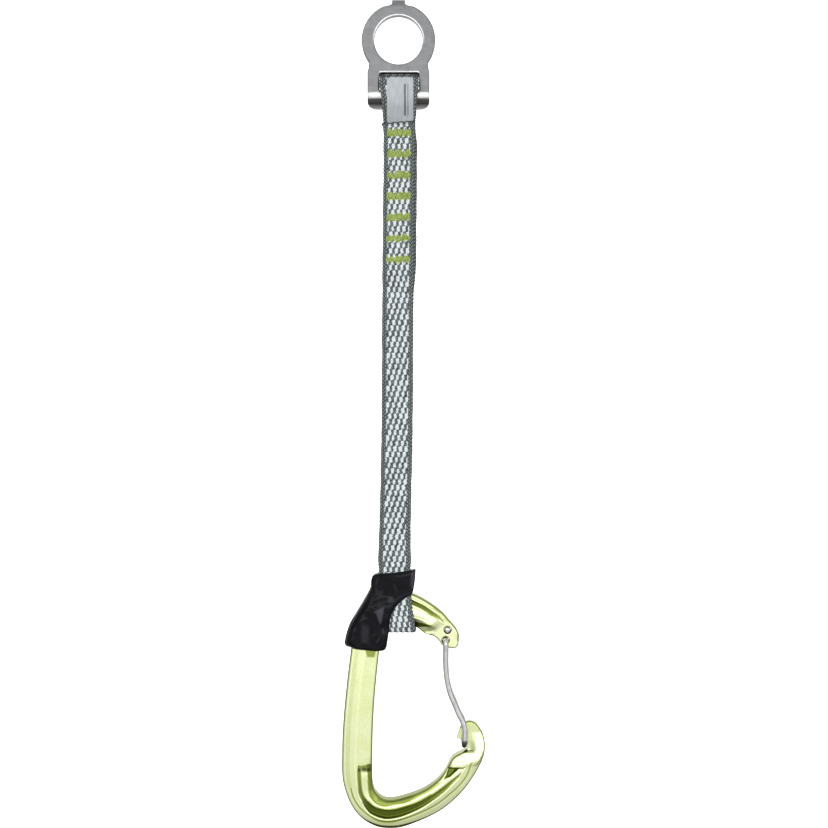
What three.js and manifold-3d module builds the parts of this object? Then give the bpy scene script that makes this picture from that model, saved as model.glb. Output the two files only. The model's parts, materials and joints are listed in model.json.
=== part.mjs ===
// A climbing quickdraw: a steel hanger plate, a sewn webbing sling, a rubber keeper and a wire-gate
// carabiner. Millimetres, +Z up. The origin is the centre of the hanger's eye; the plate stands in the
// XZ plane with its front face towards -Y, and everything below hangs straight down from its bar.

import * as THREE from 'three';
import { mergeVertices } from 'three/addons/utils/BufferGeometryUtils.js';
import Module from 'manifold-3d';

const wasm = await Module();
wasm.setup();

// Driving dimensions

const gap = 0.3; // between pieces that touch
const beyond = 10; // how far a cutting or trimming solid reaches past what it trims

const plateThickness = 3;
const ringRadius = 14.8;
const ringTop = 13.6;
const eyeRadius = 9.8;
const neckHalfWidth = 11.8;
const plateHalfWidth = 12.4;
const slotWidth = 15.8;
const slotTop = -13;
const bendTop = -20.4;
const bendInnerRadius = 3.3;
const lipCornerRadius = 3.6;
const neckFoot = slotTop + 0.6;
const neckHead = slotTop + 2.6;
const tabHalfWidth = 2.6;
const tabFlare = 0.6;
const tabFoot = ringTop + 1;
const tabTop = 16.4;
const tabLean = 2;

const webbingWidth = 12.3;
const webbingThickness = 1.2;
const loopInnerRadius = 4.8;
const loopRise = 3.35;
const sewnTop = -32.4;
const sewnBottom = -93;
const strandsTogether = -97;
const bendZ = -104;
const twistZ = -156;
const swingZ = -209;
const loopShoulder = -220;
const loopBottom = -236.1;
const tackPitch = 8.45;
const tackCount = 7;
const firstTackZ = -36.8;
const tackWidth = 9.6;
const tackHeight = 3.4;
const tackPad = 0.4;
const tackCoreHalf = 0.4;
const labelWidth = 10.2;
const labelThickness = 0.4;
const labelTopAngle = 115;

const carabinerBottom = -314.4;
const bodyHalfThickness = 4.5;
const bodyBevelWidth = 1.4;
const bodyBevelDepth = 1.9;
const pocketLevel = 2.6;
const basketPocketHalfWidth = 1.3;
const armPocketHalfWidth = 0.9;
const noseHalfThickness = 3;
const hookHalfThickness = 1.5;
const wireRadius = 1.1;
const wireHoleRadius = 1.4;
const gatePivot = [18.8, 75];
const rearWireHole = [19.6, 79];
const crosspiece = [26.3, 33.2];
const notchRadius = 1.6;
const notchLift = 0.7;
const keeperThinWall = 1.6;
const keeperThickWall = 1.4;

// The bar's middle: the sling turns about it, and everything below hangs in line with it
const bendOuterRadius = bendInnerRadius + plateThickness;
const bendCentreY = bendOuterRadius - plateThickness / 2;
const hangY = bendCentreY - bendOuterRadius / 2;
const barZ = bendTop - bendOuterRadius / 2;

// The webbing's middle line, X against Z: it leans a little to the left on its way down
const webbingLine = [
  [0, 0.3],
  [sewnTop, 0.3],
  [bendZ, -0.3],
  [twistZ, -0.6],
  [swingZ, -1.6],
  [loopShoulder, -1.4],
  [loopBottom, 0.8],
];

// Colours

const steel = new THREE.MeshStandardMaterial({ color: 0x9a9b9c, roughness: 0.45, metalness: 1 });
const webbing = new THREE.MeshStandardMaterial({ color: 0x8e9798, roughness: 0.9, metalness: 0 });
const thread = new THREE.MeshStandardMaterial({ color: 0xa5b85a, roughness: 0.8, metalness: 0 });
const satin = new THREE.MeshStandardMaterial({ color: 0xd5dadc, roughness: 0.5, metalness: 0 });
const rubber = new THREE.MeshStandardMaterial({ color: 0x1a1b1e, roughness: 0.3, metalness: 0 });
const anodised = new THREE.MeshStandardMaterial({ color: 0xdbe8a0, roughness: 0.3, metalness: 1 });
const wire = new THREE.MeshStandardMaterial({ color: 0xb8b0ae, roughness: 0.3, metalness: 1 });

// Solids and booleans

function solid(geometry) {
  const bare = geometry.clone();
  bare.deleteAttribute('normal');
  bare.deleteAttribute('uv');
  const merged = mergeVertices(bare, 1e-4);
  return new wasm.Manifold(new wasm.Mesh({
    numProp: 3,
    vertProperties: new Float32Array(merged.attributes.position.array),
    triVerts: new Uint32Array(merged.index.array),
  }));
}

function geometryOf(body) {
  const mesh = body.getMesh();
  const geometry = new THREE.BufferGeometry();
  geometry.setAttribute('position', new THREE.BufferAttribute(mesh.vertProperties, 3));
  geometry.setIndex(new THREE.BufferAttribute(mesh.triVerts, 1));
  return geometry;
}

function box(x, y, z) {
  const geometry = new THREE.BoxGeometry(x[1] - x[0], y[1] - y[0], z[1] - z[0]);
  return geometry.translate((x[0] + x[1]) / 2, (y[0] + y[1]) / 2, (z[0] + z[1]) / 2);
}

// An outline in (x, z), made into a plate from y = low to y = high
function plate(shape, low, high, curveSegments = 12) {
  const geometry = new THREE.ExtrudeGeometry(shape, {
    depth: high - low,
    bevelEnabled: false,
    curveSegments,
  });
  return geometry.rotateX(Math.PI / 2).translate(0, high, 0);
}

// A side profile in (y, z), made into a bar across X from -width / 2 to width / 2
function bar(shape, width, curveSegments = 12) {
  const geometry = new THREE.ExtrudeGeometry(shape, { depth: width, bevelEnabled: false, curveSegments });
  const toSide = new THREE.Matrix4().makeBasis(
    new THREE.Vector3(0, 1, 0),
    new THREE.Vector3(0, 0, 1),
    new THREE.Vector3(1, 0, 0),
  );
  return geometry.applyMatrix4(toSide).translate(-width / 2, 0, 0);
}

function shapeOf(points) {
  return new THREE.Shape(points.map(([x, y]) => new THREE.Vector2(x, y)));
}

function circlePath(x, z, radius) {
  return new THREE.Path().absarc(x, z, radius, 0, 2 * Math.PI);
}

// A smooth curve through points in a plane, as a list of points
function smooth(points, stepsPerSpan = 2) {
  const curve = new THREE.CatmullRomCurve3(
    points.map(([x, y]) => new THREE.Vector3(x, y, 0)),
    false,
    'centripetal',
  );
  return curve.getPoints((points.length - 1) * stepsPerSpan).map((p) => [p.x, p.y]);
}

function mesh(name, geometry, material) {
  const piece = new THREE.Mesh(geometry, material.clone());
  piece.name = name;
  return piece;
}

// Hanger plate: eye, tab, slot and the lower end bent back into the bar

function hangerOutline() {
  const ringStart = -Math.acos(neckHalfWidth / ringRadius);
  const ringEnd = Math.asin(ringTop / ringRadius);
  const shoulder = ringRadius * Math.cos(ringEnd);
  const bottom = bendTop - bendOuterRadius;
  const corner = plateHalfWidth - lipCornerRadius;
  const shape = new THREE.Shape();
  shape.moveTo(-corner, bottom);
  shape.lineTo(corner, bottom);
  shape.absarc(corner, bottom + lipCornerRadius, lipCornerRadius, 1.5 * Math.PI, 2 * Math.PI, false);
  shape.lineTo(plateHalfWidth, neckFoot);
  shape.lineTo(neckHalfWidth, neckHead);
  shape.absarc(0, 0, ringRadius, ringStart, ringEnd, false);
  shape.quadraticCurveTo(tabHalfWidth + tabFlare, ringTop, tabHalfWidth, tabFoot);
  shape.lineTo(tabHalfWidth, tabTop);
  shape.lineTo(-tabHalfWidth, tabTop);
  shape.lineTo(-tabHalfWidth, tabFoot);
  shape.quadraticCurveTo(-tabHalfWidth - tabFlare, ringTop, -shoulder, ringTop);
  shape.absarc(0, 0, ringRadius, Math.PI - ringEnd, Math.PI - ringStart, false);
  shape.lineTo(-neckHalfWidth, neckHead);
  shape.lineTo(-plateHalfWidth, neckFoot);
  shape.lineTo(-plateHalfWidth, bottom + lipCornerRadius);
  shape.absarc(-corner, bottom + lipCornerRadius, lipCornerRadius, Math.PI, 1.5 * Math.PI, false);
  shape.holes.push(circlePath(0, 0, eyeRadius));
  return shape;
}

// The sheet seen from its side: a tab that leans back, the flat, and the bend
function hangerSide() {
  const front = -plateThickness / 2;
  const back = plateThickness / 2;
  const tipDrop = 1.2;
  const shape = new THREE.Shape();
  shape.moveTo(front, ringTop);
  shape.lineTo(front, bendTop);
  shape.absarc(bendCentreY, bendTop, bendOuterRadius, Math.PI, 1.5 * Math.PI, false);
  shape.lineTo(bendCentreY, bendTop - bendInnerRadius);
  shape.absarc(bendCentreY, bendTop, bendInnerRadius, 1.5 * Math.PI, Math.PI, true);
  shape.lineTo(back, ringTop - tipDrop / 2);
  shape.lineTo(back + tabLean, tabTop - tipDrop);
  shape.lineTo(back, tabTop);
  shape.closePath();
  return shape;
}

function hangerPlate() {
  const slot = box(
    [-slotWidth / 2, slotWidth / 2],
    [-plateThickness, plateThickness],
    [bendTop + 0.1, slotTop],
  );
  return solid(bar(hangerSide(), 3 * ringRadius, 6))
    .intersect(solid(plate(hangerOutline(), -beyond, beyond, 16)))
    .subtract(solid(slot));
}

// Sling: one strap of webbing, in lengths that meet where it bends and twists.
// Its side profiles are in (y, z), with y measured from the hang line.

const half = webbingThickness / 2;
const strand = {
  front: [-gap / 2 - webbingThickness, -gap / 2],
  back: [gap / 2, gap / 2 + webbingThickness],
};
const sewn = { front: [-3 * half - gap, -half - gap], inner: -half, back: [half, 3 * half] };
const knuckleRadius = strand.back[1];
const knuckleClearance = 0.65;

function webbingX(z) {
  let k = 0;
  while (k < webbingLine.length - 2 && z < webbingLine[k + 1][0]) {
    k += 1;
  }
  const [z0, x0] = webbingLine[k];
  const [z1, x1] = webbingLine[k + 1];
  return x0 + (x1 - x0) * THREE.MathUtils.clamp((z - z0) / (z1 - z0), 0, 1);
}

function strap(profile, width = webbingWidth) {
  const geometry = bar(profile, width, 5);
  const position = geometry.attributes.position;
  for (let i = 0; i < position.count; i += 1) {
    position.setX(i, position.getX(i) + webbingX(position.getZ(i)));
  }
  return geometry.translate(0, hangY, 0);
}

// The end of a strand at a hinge: part of a circle about the hinge, from y = from to y = to
function roundEnd(hingeZ, radius, from, to, steps = 4) {
  return Array.from({ length: steps + 1 }, (_, k) => {
    const y = from + ((to - from) * k) / steps;
    return [y, hingeZ - Math.sqrt(Math.max(radius * radius - y * y, 0))];
  });
}

// Where a straight strand from point (y, z) first touches a circle round the bar
function touchAngle(y, z, radius, side) {
  const toPoint = Math.atan2(z - barZ, y);
  return toPoint + side * Math.acos(radius / Math.hypot(y, z - barZ));
}

function tackZ(k) {
  return firstTackZ - tackPitch * k;
}

// Cuts the slots that the bartacks' cores go through
function withTackSlots(geometry) {
  const sideways = tackWidth / 2 + gap;
  const upwards = tackCoreHalf + gap;
  let body = solid(geometry);
  for (let k = 0; k < tackCount; k += 1) {
    const z = tackZ(k);
    const x = webbingX(z);
    const slot = box(
      [x - sideways, x + sideways],
      [hangY - beyond, hangY + beyond],
      [z - upwards, z + upwards],
    );
    body = body.subtract(solid(slot));
  }
  return geometryOf(body);
}

// Up the back, round the bar, and down inside the sewn zone
function topLoop() {
  const outer = loopInnerRadius + webbingThickness;
  const loopTopZ = barZ + loopRise;
  const joinZ = sewnTop + 0.2;
  const meetZ = joinZ + 1.6;
  const frontTouch = touchAngle(sewn.inner, joinZ, outer, -1);
  const backTouch = touchAngle(sewn.back[1], joinZ, outer, 1);
  const profile = new THREE.Shape();
  profile.moveTo(sewn.inner, sewnBottom);
  profile.lineTo(sewn.inner, joinZ);
  profile.absarc(0, barZ, outer, frontTouch, -Math.PI, true);
  profile.absarc(0, loopTopZ, outer, Math.PI, 0, true);
  profile.absarc(0, barZ, outer, 0, backTouch, true);
  profile.lineTo(sewn.back[1], joinZ);
  profile.lineTo(sewn.back[1], sewnBottom);
  profile.lineTo(strand.back[1], strandsTogether);
  for (const [y, z] of roundEnd(bendZ, knuckleRadius, strand.back[1], strand.back[0])) {
    profile.lineTo(y, z);
  }
  profile.lineTo(strand.back[0], strandsTogether);
  profile.lineTo(sewn.back[0], sewnBottom);
  profile.closePath();

  const middle = (sewn.inner + sewn.back[1]) / 2;
  const inside = new THREE.Path();
  inside.absarc(0, barZ, loopInnerRadius, touchAngle(middle, meetZ, loopInnerRadius, 1), 0, false);
  inside.absarc(0, loopTopZ, loopInnerRadius, 0, Math.PI, false);
  inside.absarc(0, barZ, loopInnerRadius, -Math.PI, touchAngle(middle, meetZ, loopInnerRadius, -1), false);
  inside.lineTo(middle, meetZ);
  inside.closePath();
  profile.holes.push(inside);
  return strap(profile);
}

// The strap's other end, in front, from the top of the sewn zone down to the first hinge
function frontEnd() {
  const [low, high] = sewn.front;
  return strap(shapeOf([
    [low, sewnBottom],
    [low, sewnTop],
    [high, sewnTop],
    [high, sewnBottom - gap],
    [strand.front[1], strandsTogether - gap],
    ...roundEnd(bendZ, knuckleRadius, strand.front[1], strand.front[0]),
    [strand.front[0], strandsTogether],
  ]));
}

// A zigzag-stitched pad on each face of the sewn zone, joined through the layers
function bartack(k) {
  const z = tackZ(k);
  const low = z - tackHeight / 2;
  const high = z + tackHeight / 2;
  const front = sewn.front[0] - gap;
  const back = sewn.back[1] + gap;
  const profile = shapeOf([
    [front - tackPad, low],
    [front, low],
    [front, z - tackCoreHalf],
    [back, z - tackCoreHalf],
    [back, low],
    [back + tackPad, low],
    [back + tackPad, high],
    [back, high],
    [back, z + tackCoreHalf],
    [front, z + tackCoreHalf],
    [front, high],
    [front - tackPad, high],
  ]);
  return strap(profile, tackWidth);
}

// A satin tag on the front of the loop, whose lower end meets the strap's front end
function labelTag() {
  const inner = loopInnerRadius + webbingThickness + gap;
  const outer = inner + labelThickness;
  const loopTopZ = barZ + loopRise;
  const endZ = sewnTop + gap;
  const topAngle = THREE.MathUtils.degToRad(labelTopAngle);
  const innerY = sewn.inner - gap;
  const outerY = innerY - labelThickness;
  const profile = new THREE.Shape();
  profile.absarc(0, barZ, outer, touchAngle(outerY, endZ, outer, -1), -Math.PI, true);
  profile.absarc(0, loopTopZ, outer, Math.PI, topAngle, true);
  profile.lineTo(inner * Math.cos(topAngle), loopTopZ + inner * Math.sin(topAngle));
  profile.absarc(0, loopTopZ, inner, topAngle, Math.PI, false);
  profile.absarc(0, barZ, inner, -Math.PI, touchAngle(innerY, endZ, inner, -1), false);
  profile.lineTo(innerY, endZ);
  profile.lineTo(outerY, endZ);
  profile.closePath();
  return strap(profile, labelWidth);
}

// A plain length of strand between a hinge and the twist
function middleStrand([low, high]) {
  return strap(shapeOf([
    ...roundEnd(bendZ, knuckleRadius + knuckleClearance, low, high),
    [high, twistZ + gap / 2],
    [low, twistZ + gap / 2],
  ]));
}

function lowerStrand([low, high]) {
  return strap(shapeOf([
    [low, twistZ - gap / 2],
    [high, twistZ - gap / 2],
    ...roundEnd(swingZ, knuckleRadius, high, low),
  ]));
}

// The strap's turn round the carabiner's top bar, inside the keeper
const loopGap = bodyHalfThickness + 0.4;
const outerLoop = loopGap + webbingThickness;

const neckTopZ = swingZ - 2;
const neckEndZ = swingZ - 4;
const forkZ = swingZ - 6.5;

function bottomLoopOutline(grow) {
  const y = outerLoop + grow;
  const corner = 1.6;
  const shape = new THREE.Shape();
  shape.moveTo(-knuckleRadius - grow, neckTopZ);
  shape.lineTo(-knuckleRadius - grow, neckEndZ);
  shape.lineTo(-y, loopShoulder);
  shape.lineTo(-y, loopBottom + corner - grow);
  shape.absarc(-y + corner, loopBottom + corner - grow, corner, Math.PI, 1.5 * Math.PI, false);
  shape.absarc(y - corner, loopBottom + corner - grow, corner, 1.5 * Math.PI, 2 * Math.PI, false);
  shape.lineTo(y, loopShoulder);
  shape.lineTo(knuckleRadius + grow, neckEndZ);
  shape.lineTo(knuckleRadius + grow, neckTopZ);
  shape.closePath();
  return shape;
}

function bottomLoop() {
  const outside = strap(bottomLoopOutline(0));
  const inside = strap(shapeOf([
    [-gap, forkZ],
    [-loopGap, loopShoulder + 0.2],
    [-loopGap, loopBottom + webbingThickness],
    [loopGap, loopBottom + webbingThickness],
    [loopGap, loopShoulder + 0.2],
    [gap, forkZ],
  ]), webbingWidth + 2);
  const neck = strap(shapeOf([
    ...roundEnd(swingZ, knuckleRadius + knuckleClearance, -knuckleRadius, knuckleRadius, 8),
    [knuckleRadius, neckTopZ - 1],
    [-knuckleRadius, neckTopZ - 1],
  ]));
  return geometryOf(solid(outside).add(solid(neck)).subtract(solid(inside)));
}

// Carabiner. Its outlines are in (x, z), with z measured from its lowest point.

const outerEdge = [
  [24.2, 77], [23.1, 79.4], [20.7, 82.3], [17.4, 86], [13.3, 89.2], [9.2, 91.7], [5.2, 93.5],
  [-0.6, 94.9], [-5.4, 94.6], [-9.8, 92.4], [-13.8, 88.2], [-16.8, 82.8], [-18.2, 76.8], [-19.1, 70.1],
  [-20.5, 58.8], [-22, 42.8], [-22.5, 31], [-22.1, 18.4], [-18.7, 8.9], [-14.4, 3.7], [-8.8, 0.7],
  [-4.8, 0], [0.5, 0.3], [7.3, 2.8], [16, 7.2], [22.5, 12.4], [26.8, 17.2], [31.2, 23.6],
  [33.8, 28.4], [34.6, 32.8], [33.8, 37.1], [32.4, 39.6], [30.6, 40.4], [29, 39.4], [28.2, 37],
  [28, 34],
];
const innerEdge = [
  [27.2, 31.1], [24.6, 29.9], [22.3, 28.8], [20.9, 27.2], [18.6, 22.8], [15.1, 18.9], [9.5, 15.4],
  [3, 12.8], [-3.1, 11.5], [-6.6, 12], [-9.6, 14.6], [-10.7, 17.6], [-10.9, 26.3], [-10.7, 37.1],
  [-10, 50.1], [-7.7, 70.4], [-6.7, 76.8], [-6.4, 79.9], [-4.6, 81.3], [0.6, 81.2], [7.2, 80.1],
  [10.5, 77.8], [14.6, 76.2], [16.2, 74.6], [17.4, 72.9], [20.3, 71.8], [23.3, 72.1], [24.2, 74.6],
];

function bodyOutline() {
  return shapeOf([...smooth(outerEdge), ...smooth(innerEdge)]);
}

// The hook's thin nose, which the gate's two legs straddle, with the notch that holds the crosspiece
function hookOutline() {
  const [notchX, notchZ] = crosspiece;
  const shape = new THREE.Shape();
  shape.moveTo(32.6, 39);
  shape.quadraticCurveTo(30.6, 42.4, 27.3, 42.1);
  shape.quadraticCurveTo(25.6, 41.6, 24.7, 39.7);
  shape.lineTo(23.2, 35.4);
  shape.lineTo(25, 35.3);
  shape.absarc(notchX, notchZ + notchLift, notchRadius, 0.75 * Math.PI, 0, true);
  shape.lineTo(notchX + notchRadius, 32);
  shape.lineTo(27.2, 31.2);
  shape.lineTo(30, 31.2);
  shape.closePath();
  return shape;
}

// A closed band of the given half width along a smooth curve
function band(points, halfWidth) {
  const line = smooth(points, 2).map(([x, z]) => new THREE.Vector2(x, z));
  const sides = [[], []];
  line.forEach((p, k) => {
    const along = line[Math.min(k + 1, line.length - 1)].clone().sub(line[Math.max(k - 1, 0)]).normalize();
    sides[0].push([p.x - along.y * halfWidth, p.y + along.x * halfWidth]);
    sides[1].unshift([p.x + along.y * halfWidth, p.y - along.x * halfWidth]);
  });
  return shapeOf([...sides[0], ...sides[1]]);
}

function carabinerBody() {
  const blank = new THREE.ExtrudeGeometry(bodyOutline(), {
    depth: 2 * (bodyHalfThickness - bodyBevelDepth),
    bevelThickness: bodyBevelDepth,
    bevelSize: bodyBevelWidth,
    bevelOffset: -bodyBevelWidth,
    bevelSegments: 2,
  });
  blank.rotateX(Math.PI / 2).translate(0, bodyHalfThickness - bodyBevelDepth, 0);

  // The forging's pockets, on both faces
  const basketPocket = band([
    [-13.6, 26], [-13.9, 17], [-11, 10.4], [-5.4, 7.2], [0.8, 8], [8.6, 11], [15.6, 15.2], [19.5, 19.4],
  ], basketPocketHalfWidth);
  const armPocket = band([[3, 88.6], [8.6, 87.4], [14, 83.6], [16.2, 81.4]], armPocketHalfWidth);
  const noseFlat = shapeOf([[12.5, 70], [27, 70], [27, 84], [20, 86], [12.5, 78]]);
  const hookFlat = shapeOf([[21, 44], [21, 30.4], [28.2, 30.4], [28.6, 44]]);
  const depth = bodyHalfThickness + 1;

  let body = solid(blank);
  for (const side of [-1, 1]) {
    const slab = (shape, level) => {
      const [low, high] = side > 0 ? [level, depth] : [-depth, -level];
      return solid(plate(shape, low, high));
    };
    body = body
      .subtract(slab(basketPocket, pocketLevel))
      .subtract(slab(armPocket, pocketLevel))
      .subtract(slab(noseFlat, noseHalfThickness))
      .subtract(slab(hookFlat, hookHalfThickness));
  }
  body = body.add(solid(plate(hookOutline(), -hookHalfThickness, hookHalfThickness, 6)));
  for (const [x, z] of [gatePivot, rearWireHole]) {
    const hole = new THREE.Shape().absarc(x, z, wireHoleRadius, 0, 2 * Math.PI);
    body = body.subtract(solid(plate(hole, -depth, depth, 14)));
  }
  return geometryOf(body);
}

// Keeper: a sleeve that is thin round the strap above and thick round the carabiner below

function keeperSleeve() {
  const outline = shapeOf([
    ...smooth([
      [6.9, 103], [-1, 101.9], [-10.2, 100.5], [-11.3, 95.6], [-14.2, 90.2], [-17.1, 85.4], [-19.8, 80.6],
      [-21.2, 75.8], [-21.3, 73.6], [-19, 72.1], [-7.6, 71.2], [-5.4, 71.7], [-4.7, 72.6], [-3.8, 78.6],
      [-3.3, 83.5], [-2.6, 85.9], [-0.8, 89], [0.8, 90.7], [3.8, 92.9], [5.4, 93.9],
    ], 2),
  ]);
  const side = new THREE.Shape();
  const thin = knuckleRadius + gap + keeperThinWall;
  const thick = outerLoop + gap + keeperThickWall;
  const foot = thick - 0.8;
  side.moveTo(-thin, 110);
  side.lineTo(-thin, 100);
  side.quadraticCurveTo(-thick, 96, -thick, 90);
  side.lineTo(-thick, 76);
  side.lineTo(-foot, 68);
  side.lineTo(foot, 68);
  side.lineTo(thick, 76);
  side.lineTo(thick, 90);
  side.quadraticCurveTo(thick, 96, thin, 100);
  side.lineTo(thin, 110);
  side.closePath();

  const sleeve = solid(plate(outline, -beyond, beyond)).intersect(solid(bar(side, 80, 6)));
  const aroundBody = new THREE.ExtrudeGeometry(bodyOutline(), {
    depth: 2 * bodyHalfThickness,
    bevelThickness: gap,
    bevelSize: gap,
    bevelSegments: 1,
  }).rotateX(Math.PI / 2).translate(0, bodyHalfThickness, 0);
  const aroundStrap = strap(bottomLoopOutline(gap), webbingWidth + 2 * gap)
    .translate(0, -hangY, -carabinerBottom);
  const mouth = strap(shapeOf([
    [-knuckleRadius - gap, swingZ + 1],
    [knuckleRadius + gap, swingZ + 1],
    [knuckleRadius + gap, neckEndZ + 0.1],
    [-knuckleRadius - gap, neckEndZ + 0.1],
  ]), webbingWidth + 2 * gap).translate(0, -hangY, -carabinerBottom);
  return geometryOf(sleeve.subtract(solid(aroundBody)).subtract(solid(aroundStrap)).subtract(solid(mouth)));
}

// Gate: one bent wire. A leg's middle line in (x, z), from the top arm down to the crosspiece

const legLine = [
  [18.9, 72], [18.9, 66], [19.3, 59.9], [20.7, 53.7], [22.4, 49.6], [24.1, 45.5], [25.7, 42.3],
  [26.5, 39], [26.5, 36],
];
const legWide = noseHalfThickness + gap + wireRadius;
const legNarrow = hookHalfThickness + 0.4 + wireRadius;
const legTaper = [72, 42]; // the heights between which the legs come together
const pinEnd = noseHalfThickness - 0.2;

function legPoint([x, z], side) {
  const t = THREE.MathUtils.clamp((legTaper[0] - z) / (legTaper[0] - legTaper[1]), 0, 1);
  const y = legWide + (legNarrow - legWide) * t;
  return new THREE.Vector3(x, side * y, z);
}

function wireAlong(points, steps) {
  const section = new THREE.Shape();
  section.absarc(0, 0, wireRadius, 0, 2 * Math.PI);
  return new THREE.ExtrudeGeometry(section, {
    steps,
    curveSegments: 4,
    bevelEnabled: false,
    extrudePath: new THREE.CatmullRomCurve3(points, false, 'centripetal'),
  });
}

function gateWire() {
  const [px, pz] = gatePivot;
  const [cx, cz] = crosspiece;
  const points = [
    new THREE.Vector3(px, pinEnd, pz),
    new THREE.Vector3(px, 0, pz),
    new THREE.Vector3(px, -pinEnd, pz),
    new THREE.Vector3(px, -legWide + 0.5, pz - 0.25),
    new THREE.Vector3(px, -legWide, pz - 1.4),
    ...legLine.map((p) => legPoint(p, -1)),
    new THREE.Vector3(cx + 0.1, -legNarrow, cz + 1.4),
    new THREE.Vector3(cx, -legNarrow + 0.5, cz + 0.25),
    new THREE.Vector3(cx, -legNarrow + 1.6, cz),
    new THREE.Vector3(cx, legNarrow - 1.6, cz),
    new THREE.Vector3(cx, legNarrow - 0.5, cz + 0.25),
    new THREE.Vector3(cx + 0.1, legNarrow, cz + 1.4),
    ...[...legLine].reverse().map((p) => legPoint(p, 1)),
    new THREE.Vector3(px, legWide, pz - 0.6),
  ];
  return wireAlong(points, 80);
}

// The wire's rear end, in its own hole above the pivot
function rearWireEnd() {
  const [px, pz] = gatePivot;
  const [hx, hz] = rearWireHole;
  return wireAlong([
    new THREE.Vector3(px + 0.1, legWide, pz + 1.2),
    new THREE.Vector3(hx - 0.2, legWide, hz - 1.2),
    new THREE.Vector3(hx, legWide - 0.5, hz - 0.2),
    new THREE.Vector3(hx, pinEnd, hz),
    new THREE.Vector3(hx, 0, hz),
    new THREE.Vector3(hx, -pinEnd, hz),
  ], 16);
}

// The assembly

const group = new THREE.Group();
group.add(mesh('hanger_plate', geometryOf(hangerPlate()), steel));

group.add(mesh('sling_top_loop', withTackSlots(topLoop()), webbing));
group.add(mesh('sling_front_end', withTackSlots(frontEnd()), webbing));
for (let k = 0; k < tackCount; k += 1) {
  group.add(mesh(`bartack_${k + 1}`, bartack(k), thread));
}
group.add(mesh('label', labelTag(), satin));
for (const side of ['front', 'back']) {
  group.add(mesh(`sling_middle_${side}`, middleStrand(strand[side]), webbing));
  group.add(mesh(`sling_lower_${side}`, lowerStrand(strand[side]), webbing));
}
group.add(mesh('sling_bottom_loop', bottomLoop(), webbing));

const carabiner = new THREE.Group();
carabiner.position.set(0, hangY, carabinerBottom);
carabiner.add(mesh('keeper', keeperSleeve(), rubber));
carabiner.add(mesh('carabiner_body', carabinerBody(), anodised));
carabiner.add(mesh('gate_wire', gateWire(), wire));
carabiner.add(mesh('gate_wire_rear_end', rearWireEnd(), wire));
group.add(carabiner);

export default group;
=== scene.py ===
import functools
import json
import math

import bpy
import numpy as np
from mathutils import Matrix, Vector
from mathutils.geometry import delaunay_2d_cdt


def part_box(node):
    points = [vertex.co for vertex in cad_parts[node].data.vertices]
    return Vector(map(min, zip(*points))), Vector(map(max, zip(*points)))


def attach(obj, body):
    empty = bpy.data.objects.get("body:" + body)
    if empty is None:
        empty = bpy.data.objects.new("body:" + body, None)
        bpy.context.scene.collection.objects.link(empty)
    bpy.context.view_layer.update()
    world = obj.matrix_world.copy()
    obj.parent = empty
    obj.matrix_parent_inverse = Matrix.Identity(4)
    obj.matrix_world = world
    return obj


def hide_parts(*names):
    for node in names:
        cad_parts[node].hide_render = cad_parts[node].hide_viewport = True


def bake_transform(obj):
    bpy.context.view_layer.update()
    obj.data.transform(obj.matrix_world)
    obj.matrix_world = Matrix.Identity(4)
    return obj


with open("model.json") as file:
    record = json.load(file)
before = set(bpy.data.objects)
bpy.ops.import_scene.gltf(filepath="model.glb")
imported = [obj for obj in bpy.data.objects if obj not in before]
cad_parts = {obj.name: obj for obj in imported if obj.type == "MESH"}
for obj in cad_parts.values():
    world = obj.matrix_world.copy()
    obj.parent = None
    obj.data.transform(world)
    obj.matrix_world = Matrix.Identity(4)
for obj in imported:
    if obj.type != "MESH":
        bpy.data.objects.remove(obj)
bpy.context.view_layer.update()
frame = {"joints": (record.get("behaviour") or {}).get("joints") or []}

# A climbing quickdraw: steel hanger, sewn webbing sling, rubber keeper and wire-gate carabiner.
# Shapes are worked out in millimetres, and turned into metres as each mesh is made. The carabiner and
# the keeper are drawn in (x, h), with h measured up from the carabiner's lowest point.

MM = 0.001

joint_at = {j["name"]: [v / MM for v in j["pos_m"]] for j in frame["joints"]}
HANG_Y = joint_at["hanger_swing"][1]
BAR_Z = joint_at["hanger_swing"][2]
FOOT_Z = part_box("carabiner_body")[0].z / MM

# ---------------------------------------------------------------- camera, light and stage

VIEW_DISTANCE = 520
FRONT_DEPTH = 1.4
FRAME_HEIGHT = 331.2
FRAME_MIDDLE_X = 6.2
FRAME_MIDDLE_Z = -149.2
SENSOR = 36


def make_camera():
    camera = bpy.data.objects.new("camera", bpy.data.cameras.new("camera"))
    camera.data.sensor_width = SENSOR
    camera.data.lens = SENSOR * (VIEW_DISTANCE - FRONT_DEPTH) / FRAME_HEIGHT
    camera.data.clip_start = 0.01
    camera.location = Vector((FRAME_MIDDLE_X, HANG_Y - VIEW_DISTANCE, FRAME_MIDDLE_Z)) * MM
    camera.rotation_euler = (math.pi / 2, 0, 0)
    bpy.context.scene.collection.objects.link(camera)
    bpy.context.scene.camera = camera


make_camera()


def area_light(name, place, size, power):
    light = bpy.data.lights.new(name, "AREA")
    light.shape = "RECTANGLE"
    light.size, light.size_y = size
    light.energy = power
    lamp = bpy.data.objects.new(name, light)
    lamp.location = place
    middle = Vector((0, 0, FRAME_MIDDLE_Z * MM))
    lamp.rotation_euler = (middle - lamp.location).to_track_quat("-Z", "Y").to_euler()
    bpy.context.scene.collection.objects.link(lamp)


def make_lights():
    area_light("key", (-0.55, -0.75, 0.45), (0.5, 0.6), 1.5)
    area_light("fill", (0.8, -0.55, 0.0), (0.4, 0.8), 0.8)
    area_light("band", (0, -0.85, -0.12), (1.3, 0.2), 2.2)


# ---------------------------------------------------------------- node helper

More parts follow.
